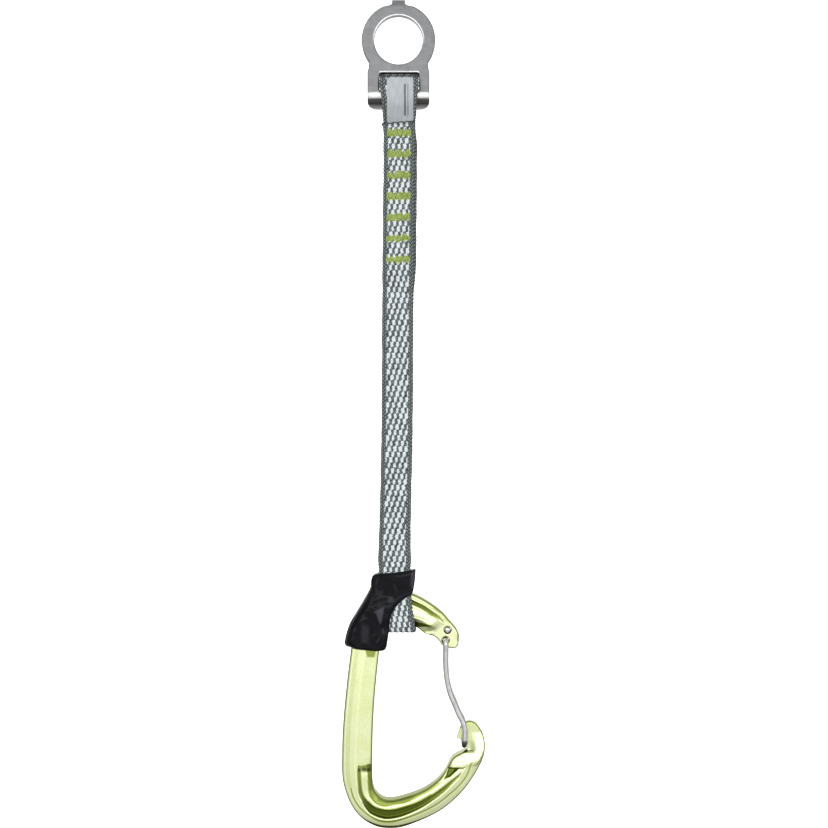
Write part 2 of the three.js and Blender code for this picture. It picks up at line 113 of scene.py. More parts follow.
class Tree:
    """Builds shader nodes. Inputs are numbers, colours or other nodes' output sockets."""

    def __init__(self, tree):
        self.nodes = tree.nodes
        self.links = tree.links

    def add(self, kind, **settings):
        node = self.nodes.new(kind)
        for key, value in settings.items():
            setattr(node, key, value)
        return node

    def put(self, socket, value):
        if isinstance(value, bpy.types.NodeSocket):
            self.links.new(value, socket)
        elif value is not None:
            socket.default_value = value

    def math(self, operation, a, b=None, c=None):
        node = self.add("ShaderNodeMath", operation=operation)
        for socket, value in zip(node.inputs, (a, b, c)):
            self.put(socket, value)
        return node.outputs[0]

    def plus(self, a, b):
        return self.math("ADD", a, b)

    def minus(self, a, b):
        return self.math("SUBTRACT", a, b)

    def times(self, a, b):
        return self.math("MULTIPLY", a, b)

    def largest(self, values):
        return functools.reduce(lambda a, b: self.math("MAXIMUM", a, b), values)

    def over(self, a, b):
        return self.math("DIVIDE", a, b)

    def size(self, a):
        return self.math("ABSOLUTE", a)

    def spread(self, value, low, high, to_low=0.0, to_high=1.0):
        """A smooth step from to_low, where value is low, to to_high, where it is high."""
        node = self.add("ShaderNodeMapRange", interpolation_type="SMOOTHSTEP")
        for socket, number in zip(node.inputs, (value, low, high, to_low, to_high)):
            self.put(socket, number)
        return node.outputs[0]

    def mix(self, factor, a, b):
        node = self.add("ShaderNodeMix", data_type="RGBA")
        self.put(node.inputs["Factor"], factor)
        self.put(node.inputs[6], a)
        self.put(node.inputs[7], b)
        return node.outputs[2]

    def noise(self, vector, scale, detail=2.0):
        node = self.add("ShaderNodeTexNoise")
        self.put(node.inputs["Vector"], vector)
        self.put(node.inputs["Scale"], scale)
        self.put(node.inputs["Detail"], detail)
        return node.outputs["Fac"]

    def streaks(self, vector, scale, detail, turn=0.0):
        """Noise that is finer one way than the other."""
        return self.noise(self.stretch(vector, scale, turn), 1.0, detail)

    def mottled(self, noise, a, b):
        """From colour a to colour b as a noise rises."""
        return self.mix(self.spread(noise, 0.3, 0.7), a, b)

    def stretch(self, vector, scale, turn=0.0):
        node = self.add("ShaderNodeMapping")
        self.put(node.inputs["Vector"], vector)
        node.inputs["Scale"].default_value = scale
        node.inputs["Rotation"].default_value = (0, turn, 0)
        return node.outputs[0]

    def bump(self, height, distance, strength=1.0, normal=None):
        node = self.add("ShaderNodeBump")
        node.inputs["Distance"].default_value = distance
        node.inputs["Strength"].default_value = strength
        self.put(node.inputs["Height"], height)
        self.put(node.inputs["Normal"], normal)
        return node.outputs[0]

    def position(self):
        """The object's own coordinates, in millimetres."""
        node = self.add("ShaderNodeTexCoord")
        return self.stretch(node.outputs["Object"], (1 / MM,) * 3)

    def flat(self):
        """The piece's own metric map: across and along, in millimetres."""
        return self.add("ShaderNodeUVMap", uv_map="metric").outputs[0]

    def apart(self, vector):
        node = self.add("ShaderNodeSeparateXYZ")
        self.put(node.inputs[0], vector)
        return node.outputs[0], node.outputs[1], node.outputs[2]

    def field(self, name):
        return self.add("ShaderNodeAttribute", attribute_name=name).outputs["Fac"]

    def look(self, inputs):
        """Sets the surface shader's inputs."""
        for name, value in inputs.items():
            self.put(self.nodes["Principled BSDF"].inputs[name], value)


def new_material(name):
    material = bpy.data.materials.new(name)
    material.use_nodes = True
    return material, Tree(material.node_tree)


def grey(value):
    return (value, value, value, 1)


def stands_for(piece, material, slot, *nodes):
    """Gives a piece its material, and has it take the place of its CAD nodes."""
    piece.data.materials.append(material)
    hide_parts(*nodes)


# ---------------------------------------------------------------- stage

def white_cloth():
    """A backdrop that is lit evenly enough to read as plain white."""
    material, tree = new_material("backdrop_white")
    tree.look({
        "Base Color": grey(0.9),
        "Roughness": 1,
        "Specular IOR Level": 0,
        "Emission Color": grey(1),
        "Emission Strength": 1.0,
    })
    return material


def make_stage():
    """A pale round floor that curves up into a backdrop on every side, far from the hanging object."""
    floor_z, reach, curve, height, turns = -0.62, 3.0, 0.6, 3.0, 64
    profile = [(0.01, floor_z)]
    for k in range(13):
        a = math.radians(90 * k / 12)
        profile.append((reach - curve + curve * math.sin(a), floor_z + curve * (1 - math.cos(a))))
    profile.append((reach, height))
    angles = [2 * math.pi * k / turns for k in range(turns)]
    points = [(r * math.cos(a), r * math.sin(a), z) for r, z in profile for a in angles]
    faces = [list(range(turns))]
    for row in range(len(profile) - 1):
        for k in range(turns):
            a, b = row * turns + k, row * turns + (k + 1) % turns
            faces.append((a, b, b + turns, a + turns))
    mesh = bpy.data.meshes.new("floor")
    mesh.from_pydata(points, [], faces)
    mesh.shade_smooth()
    mesh.materials.append(white_cloth())
    floor = bpy.data.objects.new("floor", mesh)
    bpy.context.scene.collection.objects.link(floor)
    floor.visible_glossy = False
    floor.visible_diffuse = False
    floor.visible_shadow = False


def make_world():
    """Soft surroundings: brightest in front, paler behind and above, darker at the sides and below."""
    world = bpy.data.worlds.new("studio")
    world.use_nodes = True
    bpy.context.scene.world = world
    tree = Tree(world.node_tree)
    _, y, z = tree.apart(tree.add("ShaderNodeTexCoord").outputs["Generated"])
    front = tree.spread(y, -0.92, -0.2, 0.99, 0.5)
    behind = tree.spread(y, 0.25, 0.8, 0.0, 0.3)
    low = tree.spread(z, -0.95, -0.4, 0.45, 1.0)
    above = tree.spread(z, 0.25, 0.9, 0.0, 0.3)
    level = tree.times(tree.plus(front, behind), low)
    background = world.node_tree.nodes["Background"]
    background.inputs["Color"].default_value = grey(1)
    tree.links.new(tree.plus(level, above), background.inputs["Strength"])


bpy.context.scene.view_settings.view_transform = "Standard"
make_lights()
make_stage()
make_world()


# ---------------------------------------------------------------- curves and distances

def lengths_along(points):
    return np.concatenate([[0], np.cumsum(np.linalg.norm(np.diff(points, axis=0), axis=1))])


def directions(points):
    """The unit direction of travel at each point of a line."""
    along = np.gradient(points, axis=0)
    return along / np.linalg.norm(along, axis=1, keepdims=True)


def resample(points, step):
    points = np.asarray(points, float)
    along = lengths_along(points)
    count = max(2, int(round(along[-1] / step)) + 1)
    at = np.linspace(0, along[-1], count)
    return np.column_stack([np.interp(at, along, points[:, k]) for k in range(points.shape[1])])


def smooth_curve(points, step):
    """A centripetal Catmull-Rom curve through points, given as points about step apart."""
    p = np.asarray(points, float)
    p = np.vstack([2 * p[0] - p[1], p, 2 * p[-1] - p[-2]])
    spans = []
    for a, b, c, d in zip(p[:-3], p[1:-2], p[2:-1], p[3:]):
        t0 = 0.0
        t1 = t0 + math.sqrt(np.linalg.norm(b - a))
        t2 = t1 + math.sqrt(np.linalg.norm(c - b))
        t3 = t2 + math.sqrt(np.linalg.norm(d - c))
        t = np.linspace(t1, t2, 21)[:-1, None]
        ab = ((t1 - t) * a + (t - t0) * b) / (t1 - t0)
        bc = ((t2 - t) * b + (t - t1) * c) / (t2 - t1)
        cd = ((t3 - t) * c + (t - t2) * d) / (t3 - t2)
        abc = ((t2 - t) * ab + (t - t0) * bc) / (t2 - t0)
        bcd = ((t3 - t) * bc + (t - t1) * cd) / (t3 - t1)
        spans.append(((t2 - t) * abc + (t - t1) * bcd) / (t2 - t1))
    spans.append(p[-2][None])
    return resample(np.vstack(spans), step)


def arc(centre, radius, start, end, count=24):
    """Points on an arc, with its angles in degrees."""
    a = np.radians(np.linspace(start, end, count))
    return np.column_stack([centre[0] + radius * np.cos(a), centre[1] + radius * np.sin(a)])


def circle(centre, radius, count=36):
    return arc(centre, radius, 0, 360, count + 1)[:-1]


def ease(t):
    """0 below 0, 1 above 1, and smooth between."""
    t = np.clip(t, 0, 1)
    return t * t * (3 - 2 * t)


def mixed(a, b, share):
    return a + (b - a) * share


def nearest_on(points, line, closed=False):
    """For each point: its distance to a polyline, signed + on the left, and how far along it that is."""
    ends = np.roll(line, -1, axis=0)
    starts = line
    if not closed:
        starts, ends = line[:-1], ends[:-1]
    d = ends - starts
    squares = np.maximum((d * d).sum(1), 1e-12)
    lengths = np.sqrt(squares)
    travelled = np.concatenate([[0], np.cumsum(lengths)])[:-1]
    distance = np.empty(len(points))
    along = np.empty(len(points))
    for k in range(0, len(points), 3000):
        p = points[k:k + 3000, None] - starts[None]
        t = np.clip((p * d[None]).sum(2) / squares, 0, 1)
        gap = p - t[..., None] * d[None]
        size = np.hypot(gap[..., 0], gap[..., 1])
        best = size.argmin(1)
        rows = np.arange(len(best))
        near = gap[rows, best]
        side = d[best, 0] * near[:, 1] - d[best, 1] * near[:, 0]
        distance[k:k + 3000] = np.where(side < 0, -1, 1) * size[rows, best]
        along[k:k + 3000] = travelled[best] + t[rows, best] * lengths[best]
    return distance, along


def away_from(points, line, closed=False):
    """Each point's distance to a polyline, on either side of it."""
    return np.abs(nearest_on(points, np.asarray(line, float), closed)[0])


def inside(points, loops):
    """Which points are inside the first loop and outside the others."""
    odd = np.zeros(len(points), bool)
    for loop in loops:
        a, b = loop, np.roll(loop, -1, axis=0)
        rise = np.where(b[:, 1] == a[:, 1], 1e-12, b[:, 1] - a[:, 1])
        for k in range(0, len(points), 4000):
            x, y = points[k:k + 4000, 0:1], points[k:k + 4000, 1:2]
            crosses = (a[:, 1] > y) != (b[:, 1] > y)
            at = a[:, 0] + (y - a[:, 1]) / rise * (b[:, 0] - a[:, 0])
            odd[k:k + 4000] ^= (crosses & (x < at)).sum(1) % 2 == 1
    return odd


def signed_area(loop):
    after = np.roll(loop, -1, axis=0)
    return (loop[:, 0] * after[:, 1] - after[:, 0] * loop[:, 1]).sum() / 2


# ---------------------------------------------------------------- meshes

def mesh_object(name, points, faces, uv=None, fields=None, crease=None):
    """A smooth-shaded mesh from points in millimetres and lists of faces, turned to face outwards."""
    points = np.asarray(points, float)
    volume = 0.0
    for group in faces:
        for k in range(1, group.shape[1] - 1):
            a, b, c = points[group[:, 0]], points[group[:, k]], points[group[:, k + 1]]
            volume += (a * np.cross(b, c)).sum()
    listed = [f for group in faces for f in (group if volume > 0 else group[:, ::-1]).tolist()]
    mesh = bpy.data.meshes.new(name)
    mesh.from_pydata((points * MM).tolist(), [], listed)
    mesh.shade_smooth()
    for field, values in (fields or {}).items():
        attribute = mesh.attributes.new(field, "FLOAT", "POINT")
        attribute.data.foreach_set("value", np.asarray(values, np.float32))
    if uv is not None:
        layer = mesh.uv_layers.new(name="metric")
        index = np.empty(len(mesh.loops), np.int32)
        mesh.loops.foreach_get("vertex_index", index)
        layer.data.foreach_set("uv", np.asarray(uv, np.float32)[index].ravel())
    if crease:
        mesh.set_sharp_from_angle(angle=math.radians(crease))
    piece = bpy.data.objects.new(name, mesh)
    bpy.context.scene.collection.objects.link(piece)
    return piece


GUIDE_OFFSETS = (-0.54, -0.3, -0.1, 0.1, 0.3, 0.54)


def relief(loops, half_at, spacing=0.42, rim=(0.08, 0.22, 0.42, 0.7), wall_rows=5, guides=()):
    """A solid that lies in a plane, with the same relief on both faces.

    loops are its outline and holes, as points about 0.4 apart. half_at(points) is half its thickness
    at each point. guides are lines that the mesh follows closely. Returns points as (x, y, h), with the
    front at negative y, and groups of faces.
    """
    loops = [loop if (signed_area(loop) > 0) == (k == 0) else loop[::-1] for k, loop in enumerate(loops)]
    pairs = []
    outward = []
    first = 0
    for loop in loops:
        turn = np.roll(loop, -1, axis=0) - np.roll(loop, 1, axis=0)
        normal = np.column_stack([turn[:, 1], -turn[:, 0]])
        outward.append(normal / np.maximum(np.linalg.norm(normal, axis=1, keepdims=True), 1e-9))
        pairs += [(first + i, first + (i + 1) % len(loop)) for i in range(len(loop))]
        first += len(loop)
    edge = np.vstack(loops)
    outward = np.vstack(outward)

    def depth_of(points):
        return np.min([away_from(points, loop, closed=True) for loop in loops], axis=0)

    rings = []
    for depth in rim:
        ring = edge - outward * depth
        ring = ring[inside(ring, loops)]
        rings.append(ring[depth_of(ring) > 0.93 * depth])
    low, high = edge.min(0), edge.max(0)
    rows = np.arange(low[1], high[1], spacing * 0.866)
    columns = np.arange(low[0], high[0], spacing)
    grid = np.array([(x + spacing / 2 * (k % 2), z) for k, z in enumerate(rows) for x in columns])
    grid = grid[inside(grid, loops)]
    grid = grid[depth_of(grid) > rim[-1] + 0.5 * spacing]
    rows = []
    for line in guides:
        grid = grid[away_from(grid, line) > GUIDE_OFFSETS[-1] + 0.1]
        travel = directions(line)
        for offset in GUIDE_OFFSETS:
            row = line + np.column_stack([-travel[:, 1], travel[:, 0]]) * offset
            row = row[inside(row, loops)]
            rows.append(row[depth_of(row) > rim[-1] + 0.1])
    flat = np.vstack([edge, *rings, grid, *rows])

    made = delaunay_2d_cdt([Vector(p) for p in flat], pairs, [], 0, 1e-6)
    points = np.array([tuple(p) for p in made[0]])
    triangles = np.array([f for f in made[2] if len(f) == 3])
    triangles = triangles[inside(points[triangles].mean(1), loops)]
    place = {source: k for k, sources in enumerate(made[3]) for source in sources}
    rim_points = np.array([place[i] for i in range(len(edge))])
    half = half_at(points)

    count = len(points)
    layers = [np.column_stack([points[:, 0], -half, points[:, 1]])]
    layers.append(np.column_stack([points[:, 0], half, points[:, 1]]))
    walls = [rim_points]
    for r in range(1, wall_rows):
        y = half[rim_points] * (2 * r / wall_rows - 1)
        layers.append(np.column_stack([edge[:, 0], y, edge[:, 1]]))
        walls.append(2 * count + (r - 1) * len(edge) + np.arange(len(edge)))
    walls.append(rim_points + count)
    a, b = np.array(pairs).T
    quads = [np.column_stack([u[b], u[a], v[a], v[b]]) for u, v in zip(walls[:-1], walls[1:])]
    return np.vstack(layers), [triangles, triangles[:, ::-1] + count, np.vstack(quads)]


def ring_faces(rings, size):
    """The quads from each closed ring of points to the next."""
    k = np.arange(size)
    n = (k + 1) % size
    return np.vstack([
        np.column_stack([r * size + k, r * size + n, (r + 1) * size + n, (r + 1) * size + k])
        for r in range(rings - 1)
    ])


def sweep(path, radius, sides=16, dome=0.5):
    """A round bar along a smooth path of points in space. Returns points, faces and a metric map."""
    path = np.asarray(path, float)
    along = directions(path)
    side = np.cross(along[0], (0.31, 0.9, 0.3))
    frames = []
    for t in along:
        side = side - t * (side @ t)
        side /= np.linalg.norm(side)
        frames.append((side, np.cross(t, side)))
    head, tail = [], []
    for c in np.radians([78, 55, 28]):
        rise = radius * dome * math.sin(c)
        head.append((path[0] - along[0] * rise, radius * math.cos(c), frames[0]))
        tail.insert(0, (path[-1] + along[-1] * rise, radius * math.cos(c), frames[-1]))
    rows = head + [(p, radius, f) for p, f in zip(path, frames)] + tail
    turn = np.linspace(0, 2 * math.pi, sides, endpoint=False)
    rings = [c + s * (np.cos(turn)[:, None] * f[0] + np.sin(turn)[:, None] * f[1]) for c, s, f in rows]
    tips = [path[0] - along[0] * radius * dome, path[-1] + along[-1] * radius * dome]
    points = np.vstack([*rings, tips])
    travelled = lengths_along(np.array([row[0] for row in rows]))
    uv = np.array([(radius * a, v) for v in travelled for a in turn] + [(0, 0), (0, travelled[-1])])
    k = np.arange(sides)
    n = (k + 1) % sides
    last = (len(rows) - 1) * sides
    tip = len(points) - 2
    caps = [np.column_stack([np.full(sides, tip), n, k])]
    caps.append(np.column_stack([np.full(sides, tip + 1), last + k, last + n]))
    return points, [ring_faces(len(rows), sides), np.vstack(caps)], uv


# ---------------------------------------------------------------- webbing

WEB_HALF_WIDTH = 6.25
WEB_HALF_THICKNESS = 0.6
SELVAGE_ROUND = 0.7
DASH_PITCH = 2.2
DASH_PERIOD = 2.25
DASH_SHIFT = 0.75
DASH_SLANT = 0.1
DASH_SHEAR = 0.5
DASH_HALF_WIDTH = 0.62
DASH_HALF_LENGTH = 1.16
FIELD_HALF_WIDTH = 4.35
LINK_COLUMNS = (4.82, 5.66)
LINK_PITCH = 1.47
LINK_HALF_WIDTH = 0.4
LINK_HALF_LENGTH = 0.42
LINK_SLANT = 0.7
STRAND_Y = 0.75
TWIST_CUT_Z = -130
LOWER_CUT_Z = -183
TACK_FIRST_Z = -36.8
TACK_PITCH = 8.45
TACK_COUNT = 7
TACK_LEAN = 0.02
SEWN_TOP = -32.4
SEWN_BOTTOM = -93
LOOP_FOLD_Z = -16.3
V_AT_TWIST_CUT = 200
# How much wider the strap lies near the bar and above the keeper: heights, then shares of its width
TOP_FLARE = ((-42, -30, -24, -19), (1.0, 1.05, 1.14, 1.235))
NECK_FLARE = ((-214, -207, -195), (1.0, 1.06, 1.0))

web_line = smooth_curve(
    [(-0.0, 0.3), (-32.4, 0.3), (-104, -0.3), (-156, -0.6), (-209, -1.6), (-220, -1.3), (-236.1, 0.8)],
    1,
)


def web_x(z):
    """The strap's middle in X at a height: it leans a little on its way down."""
    line = web_line[::-1]
    return np.interp(z, line[:, 0], line[:, 1])


def wrapped(value, half):
    return (value + half) % (2 * half) - half


def weave_height(u, v):
    """The webbing's relief in millimetres, at u across and v along."""
    row = np.round(v / DASH_PITCH)
    dv = v - row * DASH_PITCH
    du = wrapped(u + row * DASH_SHIFT - DASH_SLANT * dv, DASH_PERIOD / 2)
    end = dv + DASH_SHEAR * du
    reach = np.abs(du / DASH_HALF_WIDTH) ** 3 + np.abs(end / DASH_HALF_LENGTH) ** 4
    dash = 0.15 * np.sqrt(np.clip(1.15 - reach, 0, 1))
    edge = np.abs(u)
    links = np.zeros_like(u)
    for k, column in enumerate(LINK_COLUMNS):
        across = (edge - column) / LINK_HALF_WIDTH
        slant = LINK_SLANT * (edge - column) * (1 if k else -1)
        step = wrapped(v / LINK_PITCH + slant + 0.5 * k, 0.5) / LINK_HALF_LENGTH
        links += 0.16 * np.sqrt(np.clip(1 - across ** 2 - step ** 2, 0, 1))
    share = ease((FIELD_HALF_WIDTH + 0.1 - edge) / 0.25)
    return mixed(links, dash, share) - 0.05


def across_points():
    """Where the strap's mesh has points across it, from one selvage to the other."""
    flat = np.arange(-5.4, 5.41, 0.2)
    turn = np.radians([90, 66, 44, 24])
    rim = WEB_HALF_WIDTH - SELVAGE_ROUND + SELVAGE_ROUND * np.sin(turn)
    return np.concatenate([-rim, flat, rim[::-1]])


def there_and_back(front, back):
    """Rows of values that go round the strap: across its front, and back across its other face."""
    return np.concatenate([front, back[:, -2:0:-1]], axis=1)


def strap(name, path, v_at_start, squeeze=None, cut_end=False, spread_top=False):
    """One length of webbing along a path in (y, z), y measured from the hang line."""
    rows = resample(path, 0.3)
    along = directions(rows)
    normal = np.column_stack([along[:, 1], -along[:, 0]])
    travelled = lengths_along(rows)
    v = v_at_start + travelled
    u = across_points()
    flank = np.clip((np.abs(u) - (WEB_HALF_WIDTH - SELVAGE_ROUND)) / SELVAGE_ROUND, 0, 1)
    profile = np.sqrt(1 - flank ** 2)
    U, V = np.meshgrid(u, v)
    width = 1 + 0.010 * np.sin(V / 4.1) + 0.008 * np.sin(V / 1.37 + 1)
    width += 0.012 * np.sin(2 * math.pi * V / LINK_PITCH + np.sign(U))
    thick = squeeze(rows[:, 1])[:, None] if squeeze else 1
    rough = 0.02 * np.sin(7.1 * U + 1.3 * V) * np.sin(3.3 * V - 2.1 * U)
    half = (WEB_HALF_THICKNESS * thick + weave_height(U, V) + rough) * profile
    from_cut = travelled[:, None] * np.ones_like(U)
    skew = cut_end * np.exp(-from_cut / 2.5) * (0.1 * U + 0.15 * np.sin(2.2 * U) + 0.1 * np.sin(5.3 * U))
    middle = web_x(rows[:, 1])
    if spread_top:
        width *= np.interp(rows[:, 1], *TOP_FLARE)[:, None]
        middle = middle + 1.0 * ease((-34 - rows[:, 1]) / 8) * ease((rows[:, 1] + 106) / 18)
    width *= np.interp(rows[:, 1], *NECK_FLARE)[:, None]
    x = middle[:, None] + U * width
    x -= cut_end * 0.9 * ease((-4 - U) / 2) * np.exp(-(from_cut / 1.3) ** 2)
    faces_at = []
    for sign in (1, -1):
        y = rows[:, 0][:, None] + sign * half * normal[:, 0][:, None]
        z = rows[:, 1][:, None] + sign * half * normal[:, 1][:, None] + skew
        faces_at.append(np.stack([x, y + HANG_Y, z], axis=2))
    ring = there_and_back(*faces_at)
    uv = np.stack([U, V], 2)
    uv = there_and_back(uv, uv).reshape(-1, 2)
    count = len(u)
    size = ring.shape[1]
    front = np.arange(1, count - 2)
    back = size - front
    cap = np.column_stack([front, front + 1, back - 1, back])
    tips = np.array([[0, 1, size - 1], [count - 1, count, count - 2]])
    last = (len(rows) - 1) * size
    quads = np.vstack([ring_faces(len(rows), size), cap[:, ::-1], cap + last])
    faces = [quads, np.vstack([tips[:, ::-1], tips + last])]
    # Darker at the heat-sealed cut end (real), plus painted shade on the loop above its fold, inside the
    # hanger's slot
    sealed_end_and_shade = cut_end * np.exp(-(from_cut / 0.9) ** 2)
    sealed_end_and_shade = sealed_end_and_shade + spread_top * 0.85 * ease((rows[:, 1] - LOOP_FOLD_Z) / 0.8)[:, None]
    sealed_end_and_shade = there_and_back(sealed_end_and_shade, sealed_end_and_shade).ravel()
    return mesh_object(name, ring.reshape(-1, 3), faces, uv, {"sealed_end_and_shade": sealed_end_and_shade}, crease=62)


def tack_heights():
    return TACK_FIRST_Z - TACK_PITCH * np.arange(TACK_COUNT)


def sewn_squeeze(z):
    """How much the stitching flattens the layers, as a share of their thickness."""
    pull = np.zeros_like(z)
    for tack in tack_heights():
        pull = np.maximum(pull, ease(1 - np.abs(z - tack) / 3.6))
    return 1.0 - 0.22 * pull + 0.06 * (z > SEWN_BOTTOM) * (z < SEWN_TOP) * (1 - pull)


LOOP_RADIUS = 5.4
LOOP_TOP_Z = BAR_Z + 4.42

loop_round_bar = np.vstack([
    smooth_curve([(0, -40), (0, -36), (-0.45, -33.4), (-2.9, -29.2), (-4.9, -25.6),
                  (-LOOP_RADIUS, -22.6), (-LOOP_RADIUS, LOOP_TOP_Z)], 0.3)[:-1],
    arc((0, LOOP_TOP_Z), LOOP_RADIUS, 180, 0, 60),
    smooth_curve([(LOOP_RADIUS, LOOP_TOP_Z), (LOOP_RADIUS, -22.6), (5.0, -25.6), (3.3, -29.4),
                  (1.7, -33.2), (1.2, -36.4), (1.2, -40)], 0.3)[1:],
])


def make_webbing():
    """The sling's one strap, in five lengths that follow on from one another."""
    v_cut = V_AT_TWIST_CUT
    upper = smooth_curve([(-1.5, SEWN_TOP), (-1.5, -60), (-1.5, SEWN_BOTTOM), (-0.8, -97.5),
                          (-STRAND_Y, -104), (-STRAND_Y, TWIST_CUT_Z)], 0.3)
    front_upper = strap("webbing_front_upper", upper, v_cut - lengths_along(upper)[-1],
                        squeeze=sewn_squeeze, cut_end=True)

    middle_front = np.array([(-STRAND_Y, TWIST_CUT_Z), (-STRAND_Y, LOWER_CUT_Z)])
    front_middle = strap("webbing_front_middle", middle_front, v_cut)

    turn = np.vstack([
        smooth_curve([(-STRAND_Y, LOWER_CUT_Z), (-STRAND_Y, -204), (-0.85, -210), (-2.0, -214.6),
                      (-4.4, -219), (-5.45, -223.2), (-5.5, -227), (-5.5, -234.4)], 0.3)[:-1],
        arc((-4.4, -234.4), 1.1, 180, 270, 8)[:-1],
        arc((4.4, -234.4), 1.1, 270, 360, 8)[:-1],
        smooth_curve([(5.5, -234.4), (5.5, -227), (5.45, -223.2), (4.4, -219), (2.0, -214.6),
                      (0.85, -210), (STRAND_Y, -204), (STRAND_Y, LOWER_CUT_Z)], 0.3),
    ])
    v_turn = v_cut + TWIST_CUT_Z - LOWER_CUT_Z
    lower_turn = strap("webbing_lower_turn", turn, v_turn)

    v_back = v_turn + lengths_along(turn)[-1]
    middle_back = np.array([(STRAND_Y, LOWER_CUT_Z), (STRAND_Y, TWIST_CUT_Z)])
    back_middle = strap("webbing_back_middle", middle_back, v_back)

    v_loop = v_back + TWIST_CUT_Z - LOWER_CUT_Z
    loop = np.vstack([
        smooth_curve([(STRAND_Y, TWIST_CUT_Z), (STRAND_Y, -104), (0.8, -97.5), (1.2, SEWN_BOTTOM),
                      (1.2, -60), (1.2, -40)], 0.3)[:-1],
        loop_round_bar[::-1],
        resample(np.array([(0, -40), (0, SEWN_BOTTOM)]), 0.3)[1:],
    ])
    top_loop = strap("webbing_loop", loop, v_loop, squeeze=sewn_squeeze, spread_top=True)

    fabric = webbing_material()
    stands_for(front_upper, fabric, "webbing", "sling_front_end")
    stands_for(top_loop, fabric, "webbing", "sling_top_loop")
    stands_for(front_middle, fabric, "webbing", "sling_middle_front", "sling_lower_front")
    stands_for(back_middle, fabric, "webbing", "sling_middle_back", "sling_lower_back")
    stands_for(lower_turn, fabric, "webbing", "sling_bottom_loop")

    for piece in (front_upper, top_loop):
        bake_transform(piece)
    for piece in (front_middle, back_middle):
        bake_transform(piece)
    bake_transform(lower_turn)


def webbing_material():
    """White dashes on grey green, with darker chain-like selvages."""
    material, tree = new_material("webbing_weave")
    flat = tree.flat()
    u, v, _ = tree.apart(flat)
    fibres = tree.streaks(flat, (3.6, 1.3, 1), 4.0)
    patches = tree.noise(flat, 0.45, 2.0)
    dash, split = dash_nodes(tree, u, v, fibres)
    links = link_nodes(tree, u, v, fibres)

    dark = (0.022, 0.03, 0.03, 1)
    ground = tree.mix(tree.spread(fibres, 0.40, 0.58), (0.038, 0.048, 0.049, 1), (0.175, 0.21, 0.21, 1))
    ground = tree.mix(tree.spread(patches, 0.45, 0.7, 0.0, 0.7), ground, dark)
    white = tree.mix(tree.spread(fibres, 0.3, 0.62), (0.48, 0.53, 0.55, 1), (0.8, 0.84, 0.86, 1))
    white = tree.mix(tree.times(split, 0.3), white, (0.36, 0.41, 0.42, 1))
    centre = tree.mix(dash, ground, white)
    chain = tree.mix(tree.spread(fibres, 0.35, 0.65), (0.10, 0.118, 0.118, 1), (0.30, 0.33, 0.325, 1))
    selvage = tree.mix(links, dark, chain)
    edge = tree.size(u)
    selvage = tree.mix(tree.spread(edge, 5.95, 6.2, 0.0, 0.6), selvage, chain)
    field = tree.spread(edge, FIELD_HALF_WIDTH + 0.15, FIELD_HALF_WIDTH - 0.1)
    colour = tree.mix(field, selvage, centre)
    height = tree.plus(fibres, tree.times(dash, 0.6))
    # The base colour darkens at the sealed cut end, and with painted shade at the loop's top
    tree.look({
        "Base Color": tree.mix(tree.field("sealed_end_and_shade"), colour, dark),
        "Roughness": tree.spread(fibres, 0.2, 0.8, 0.62, 0.86),
        "Specular IOR Level": 0.3,
        "Sheen Weight": 0.12,
        "Sheen Roughness": 0.4,
        "Normal": tree.bump(height, 0.0001, 0.9),
    })
    return material


def dash_nodes(tree, u, v, fibres):
    """The white dashes, and the line between the two threads of each."""
    row = tree.math("ROUND", tree.over(v, DASH_PITCH))
    dv = tree.minus(v, tree.times(row, DASH_PITCH))
    shifted = tree.plus(u, tree.times(row, DASH_SHIFT))
    shifted = tree.minus(shifted, tree.times(dv, DASH_SLANT))
    flat = tree.flat()
    sway = tree.minus(tree.streaks(flat, (1.3, 1.0, 1), 3.0), 0.5)
    stray = tree.minus(tree.streaks(flat, (2.9, 0.7, 1), 2.0), 0.5)
    shifted = tree.plus(shifted, tree.times(sway, 0.9))
    dv = tree.plus(dv, tree.times(stray, 1.7))
    du = tree.math("WRAP", shifted, DASH_PERIOD / 2, -DASH_PERIOD / 2)
    column = tree.math("ROUND", tree.over(shifted, DASH_PERIOD))
    cell = tree.add("ShaderNodeCombineXYZ")
    tree.put(cell.inputs[0], row)
    tree.put(cell.inputs[1], column)
    chance = tree.add("ShaderNodeTexWhiteNoise", noise_dimensions="2D")
    tree.put(chance.inputs["Vector"], cell.outputs[0])
    size = tree.plus(0.78, tree.times(chance.outputs["Value"], 0.36))
    end = tree.plus(dv, tree.times(du, DASH_SHEAR))
    across = tree.over(tree.size(tree.over(du, DASH_HALF_WIDTH)), size)
    along = tree.over(tree.size(tree.over(end, DASH_HALF_LENGTH)), size)
    reach = tree.plus(tree.math("POWER", across, 4.0), tree.math("POWER", along, 6.0))
    frayed = tree.times(tree.minus(fibres, 0.5), 3.2)
    dash = tree.spread(tree.plus(reach, frayed), 1.3, 0.75)
    split = tree.spread(tree.size(du), 0.14, 0.02)
    return dash, split


def link_nodes(tree, u, v, fibres):
    """The selvage's two columns of small slanted links."""
    links = []
    edge = tree.size(u)
    for k, column in enumerate(LINK_COLUMNS):
        off = tree.minus(edge, column)
        across = tree.math("POWER", tree.size(tree.over(off, LINK_HALF_WIDTH)), 2.0)
        slant = tree.times(off, LINK_SLANT if k else -LINK_SLANT)
        step = tree.plus(tree.over(v, LINK_PITCH), slant)
        step = tree.math("WRAP", tree.plus(step, 0.5 * k), 0.5, -0.5)
        step = tree.math("POWER", tree.size(tree.over(step, LINK_HALF_LENGTH)), 2.0)
        reach = tree.plus(tree.plus(across, step), tree.minus(fibres, 0.5))
        links.append(tree.spread(reach, 1.1, 0.4))
    return tree.largest(links)


# ---------------------------------------------------------------- bartacks and label

TACK_HALF_WIDTH = 4.8
TACK_HALF_HEIGHT = 1.62
THREAD_RADIUS = 0.2
TACK_FRONT_Y = 1.95
TACK_BACK_Y = 1.62


